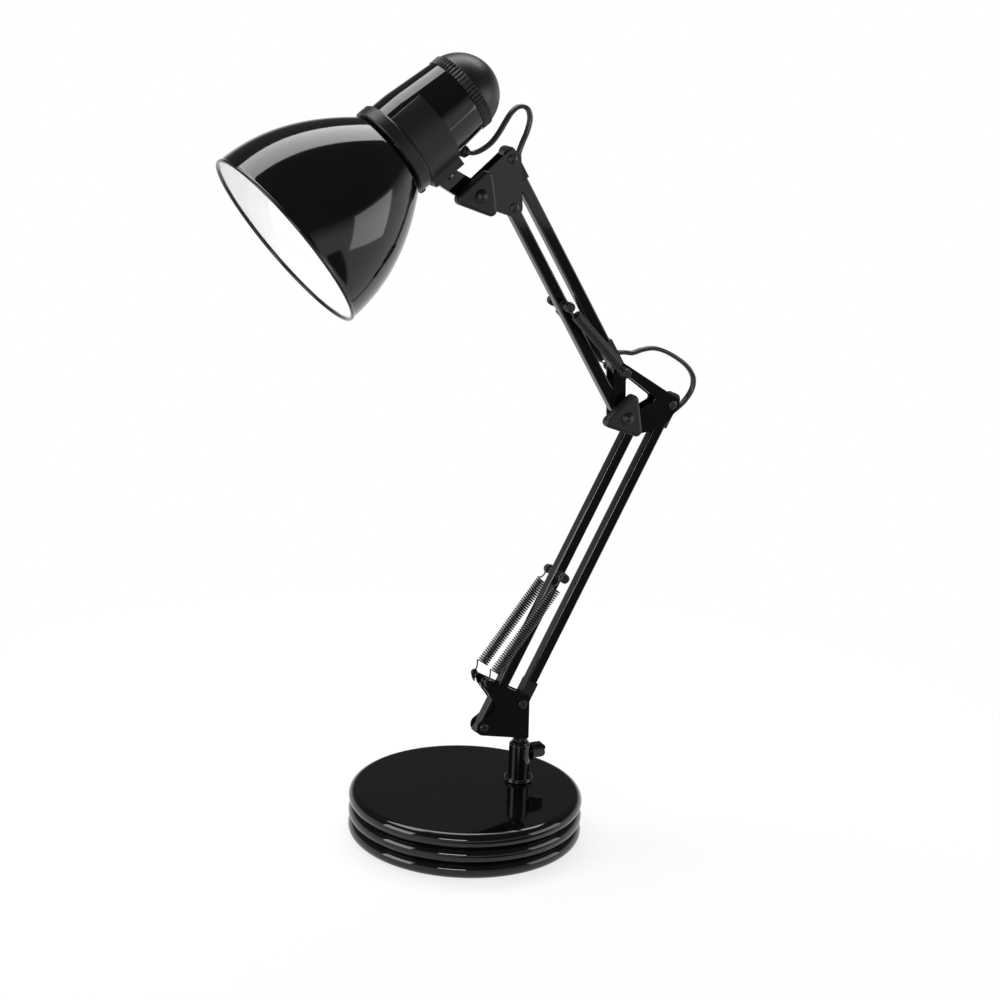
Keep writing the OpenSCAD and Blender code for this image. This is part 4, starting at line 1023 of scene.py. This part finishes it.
@dataclass
class Fastener:
    """A cross-recessed pan-head screw through an arm, with its nut on the far side."""

    name: str
    place: Vector
    head_r: float = 2.4
    seat: float = 4.2
    head_h: float = 1.0
    shank_r: float = 1.25
    nut_h: float = 2.0
    nut_r: float = 2.9
    tail: float = 6.8
    slot_w: float = 0.42
    slot_l: float = 1.45
    slot_depth: float = 0.55
    sides: int = 72

    def recess(self, radius: float, angle: float) -> float:
        """Returns the cross recess's depth at a point. Args: radius in millimetres and angle in radians."""
        turn = angle + math.pi / 5
        u, v = abs(radius * math.cos(turn)), abs(radius * math.sin(turn))
        ease = 0.16

        def inside(distance: float, limit: float) -> float:
            return min(1.0, max(0.0, (limit - distance) / ease + 0.5))

        arms = max(inside(u, self.slot_l) * inside(v, self.slot_w),
                   inside(v, self.slot_l) * inside(u, self.slot_w))
        return self.slot_depth * arms * min(1.0, 1.35 - 0.55 * radius / self.slot_l)

    def screw(self) -> bpy.types.Object:
        """Returns the screw: domed head, recess, shank and the threaded tail."""
        axis = Spindle(self.place, -ACROSS, Vector((1.0, 0.0, 0.0)))
        turns = round_turns(self.sides)
        crown = self.seat + self.head_h
        rings = []
        for step in range(17):
            radius = max(0.86 * self.head_r * step / 16, 0.001)
            dome = 0.30 * (radius / self.head_r) ** 2
            rings.append([axis.at(crown - dome - self.recess(radius, turn), radius, turn) for turn in turns])
        edge = [(0.95, 0.36), (1.0, 0.55), (1.0, 0.86), (0.97, 1.0)]
        rings += [[axis.at(crown - drop * self.head_h, share * self.head_r, turn) for turn in turns]
                  for share, drop in edge]
        rings.append([axis.at(self.seat, self.shank_r, turn) for turn in turns])
        thread, pitch = 3.4, 0.45
        for step in range(int(2 * thread / pitch)):
            radius = self.shank_r - (0.16 if step % 2 else 0.0)
            rings.append([axis.at(-self.tail + thread - step * pitch / 2, radius, turn) for turn in turns])
        rings.append([axis.at(-self.tail, 0.75 * self.shank_r, turn) for turn in turns])
        return skin(self.name, rings)

    def nut(self) -> bpy.types.Object:
        """Returns the chamfered hexagon nut on the far side."""
        axis = Spindle(self.place + ACROSS * self.seat * MM, ACROSS, Vector((1.0, 0.0, 0.0)))
        turns = round_turns(self.sides)
        flat = self.nut_r * math.cos(math.pi / 6)

        def hexagon(height: float, limit: float) -> list[Vector]:
            ring = []
            for turn in turns:
                off = (turn + math.pi / 6) % (math.pi / 3) - math.pi / 6
                ring.append(axis.at(height, min(flat / math.cos(off), limit), turn))
            return ring

        bore = self.shank_r + 0.03
        rings = [[axis.at(0.0, bore, turn) for turn in turns],
                 hexagon(0.0, 0.97 * flat), hexagon(0.25, self.nut_r),
                 hexagon(self.nut_h - 0.32, self.nut_r), hexagon(self.nut_h, 0.95 * flat),
                 [axis.at(self.nut_h, bore + 0.25, turn) for turn in turns],
                 [axis.at(self.nut_h - 0.25, bore, turn) for turn in turns]]
        return skin(f"{self.name}_nut", rings, looped=True)


@dataclass
class Arms:
    """The brackets, tubes, elbow and head plates with their screws."""

    linkage: Linkage

    def screws(self) -> None:
        """Builds the pivot screws and nuts at the shoulder, the elbow and the head."""
        link = self.linkage
        groups = (
            ("shoulder", "swivel", [pivot("lower_front_fold"), pivot("lower_arm_fold")]),
            ("elbow", "elbow", [link.elbow_front, pivot("elbow_fold")]),
            ("head", "head_bracket", [link.head_front, pivot("head_bracket_fold")]),
        )
        for word, body, places in groups:
            for index, place in enumerate(places):
                fastener = Fastener(f"{word}_pivot_screw_{index + 1}", place)
                screws = [f"{word}_screws"] if index == 0 else []
                nuts = [f"{word}_nuts"] if index == 0 else []
                finish_piece(fastener.screw(), BLACKED_STEEL, body, *screws)
                finish_piece(fastener.nut(), BLACKED_STEEL, body, *nuts)

    def build(self) -> None:
        """Builds the screws and dresses the painted steel and moulded parts."""
        self.screws()
        dress(GLOSS_PAINT, 0.18, "lower_bracket_near", "lower_bracket_far", "swivel_spindle")
        dress(GLOSS_PAINT, 0.2, "elbow_plate_near", "elbow_plate_far", "head_plate_near", "head_plate_far")
        dress(GLOSS_PAINT, 0.45, "lower_front_tube", "lower_rear_tube", "upper_front_tube", "upper_rear_tube")
        dress(MATT_PLASTIC, 0.3, "lower_flex_guides", "upper_flex_guides")
        dress(MATT_PLASTIC, 0.35, "lower_spring_pin", "upper_spring_pin", "elbow_spring_bolt")
        dress(BLACKED_STEEL, 0.2, "elbow_bolt", "elbow_washer", "tilt_bolt", "tilt_washer")
        dress(GLOSS_PAINT, 0.25, "tilt_stem")


@dataclass
class ClampKnob:
    """A moulded knob with three lobes and a dome at its middle."""

    name: str
    centre: Vector
    body: str
    node: str
    lobe_at: float = 9.6
    tip_r: float = 3.0
    back: float = 5.6
    depth: float = 5.4
    dome_r: float = 3.65
    dome_centre: float = 9.8
    first_lobe: float = 70.0
    sides: int = 180

    def lobe_radius(self, angle: float, inset: float) -> float:
        """Finds how far the rounded triangle reaches.

        Args:
            angle: direction from the middle, in degrees.
            inset: how far the outline is drawn in, in millimetres.

        Returns:
            The distance, in millimetres.
        """
        tip = self.tip_r - inset
        off = (angle - self.first_lobe + 60) % 120 - 60
        side_angle = math.radians(60 - abs(off))
        straight = (self.lobe_at / 2 + tip) / math.cos(side_angle)
        along_side = straight * math.sin(side_angle)
        if along_side <= self.lobe_at * math.sin(math.radians(60)):
            return straight
        turn = math.radians(abs(off))
        sideways = self.lobe_at * math.sin(turn)
        return self.lobe_at * math.cos(turn) + math.sqrt(max(tip ** 2 - sideways ** 2, 0.0))

    def ring(self, height: float, radii: Sequence[float]) -> list[Vector]:
        """Returns one ring about the knob's axis. Args: height off the pivot and the radius at each corner."""
        return [self.centre + (Vector((math.cos(turn), 0.0, math.sin(turn))) * radius - ACROSS * height) * MM
                for turn, radius in zip(round_turns(self.sides), radii)]

    def build(self) -> None:
        """Builds the knob from rings that go from its back to the top of its dome."""
        front = self.back + self.depth
        waist = math.sqrt(self.dome_r ** 2 - (front - self.dome_centre) ** 2)
        stack = [(self.back, 0.7, 0.0), (self.back + 0.15, 0.3, 0.0), (self.back + 0.6, 0.0, 0.0),
                 (front - 1.5, 0.05, 0.0), (front - 0.75, 0.22, 0.0), (front - 0.3, 0.55, 0.0),
                 (front - 0.05, 1.05, 0.0), (front, 1.6, 0.0), (front, 2.1, 0.25), (front - 0.04, 2.2, 0.6),
                 (front, 2.2, 0.9), (front, 2.2, 1.0)]
        rings = []
        for height, inset, roundness in stack:
            lobes = [self.lobe_radius(360 * step / self.sides, inset) for step in range(self.sides)]
            rings.append(self.ring(height, [lobe + (waist - lobe) * roundness for lobe in lobes]))
        first = math.degrees(math.asin((front - self.dome_centre) / self.dome_r))
        for radius, height in arc((0.0, self.dome_centre), self.dome_r, first, 90.0, 10)[1:]:
            rings.append(self.ring(height, [radius] * self.sides))
        finish_piece(skin(self.name, rings), MATT_PLASTIC, self.body, self.node)


@dataclass
class Head:
    """The shade with its white inside, the housing, the collar, the bulb and the rear dome."""

    swivel_d = 24.6
    swivel_s = 83.4
    mouth_r: float = 48.6
    neck_r: float = 22.5
    length: float = 66.0
    curve: float = 2.1
    wall: float = 0.8
    bead_r: float = 0.9
    neck_hole_r: float = 17.8
    steps: int = 40

    def bell(self, height: float) -> float:
        """Returns the shade's outside radius. Args: height from the mouth, in millimetres."""
        return self.mouth_r - (self.mouth_r - self.neck_r) * (height / self.length) ** self.curve

    def shade(self) -> None:
        """Builds the shade as one closed shell, painted black outside and white inside."""
        bead = (self.mouth_r - 0.5 * self.bead_r, 0.5 * self.bead_r)
        heights = [1.4 + (self.length - 1.4) * k / self.steps for k in range(self.steps + 1)]
        outside = [(self.bell(h), h) for h in reversed(heights)]
        outside[0] = (self.neck_r - 0.25, self.length)
        outside.insert(1, (self.neck_r + 0.02, self.length - 0.25))
        roll = arc(bead, self.bead_r, 55.0, -205.0, 22)
        last = self.length - self.wall
        lining = [(self.bell(h) - self.wall, min(h, last)) for h in heights if h < last - 0.3]
        lining += [(self.neck_r - 1.4, last), (self.neck_hole_r, last), (self.neck_hole_r, self.length)]
        profile = outside + roll + lining
        axis = head_axis()
        shell = turned("spun_shade", axis, profile, steps=192)
        finish_piece(shell, SHADE_BLACK, "head", "shade")
        shell.data.materials.append(SHADE_WHITE.material())
        for polygon in shell.data.polygons:
            step = polygon.center - axis.origin
            height = step.dot(axis.along)
            out = (step - axis.along * height).normalized()
            inward = polygon.normal.dot(out) < 0 or polygon.normal.dot(axis.along) < -0.9
            if inward and 1.2 * MM < height < (last + 0.1) * MM:
                polygon.material_index = 1

    def build(self) -> None:
        """Builds the shade and dresses the rest of the head."""
        self.shade()
        dress(GLOSS_PAINT, 0.3, "housing")
        dress(MATT_PLASTIC, 0.5, "collar_ring")
        dress(MATT_PLASTIC, 0.35, "saddle")
        dress(MATT_PLASTIC, 0.25, "flex_gland", "switch_body")
        dress(MATT_PLASTIC, 0.12, "dome_switch")
        dress(PLATED_STEEL, 0.2, "swivel_nut")
        dress(WHITE_PLASTIC, 0.3, "lampholder")
        dress(BRASS, 0.0, "lampholder_shell", "lampholder_contact")
        dress(ALUMINIUM, 0.0, "bulb_cap")
        dress(OPAL_GLASS, 0.0, "bulb_glass")


def main() -> None:
    """Builds the camera and the cords, then every other piece."""
    logging.basicConfig(level=logging.INFO, format="%(message)s")
    studio = Studio()
    studio.camera()
    linkage = Linkage()
    Flex(linkage).build()
    Springs(linkage).build()
    Base().build()
    Arms(linkage).build()
    ClampKnob("elbow_clamp_knob", pivot("elbow_knob_turn"), "elbow_knob", "elbow_knob").build()
    ClampKnob("tilt_clamp_knob", pivot("tilt_knob_turn"), "tilt_knob", "tilt_knob").build()
    Head().build()
    studio.build()


if __name__ == "__main__":
    main()
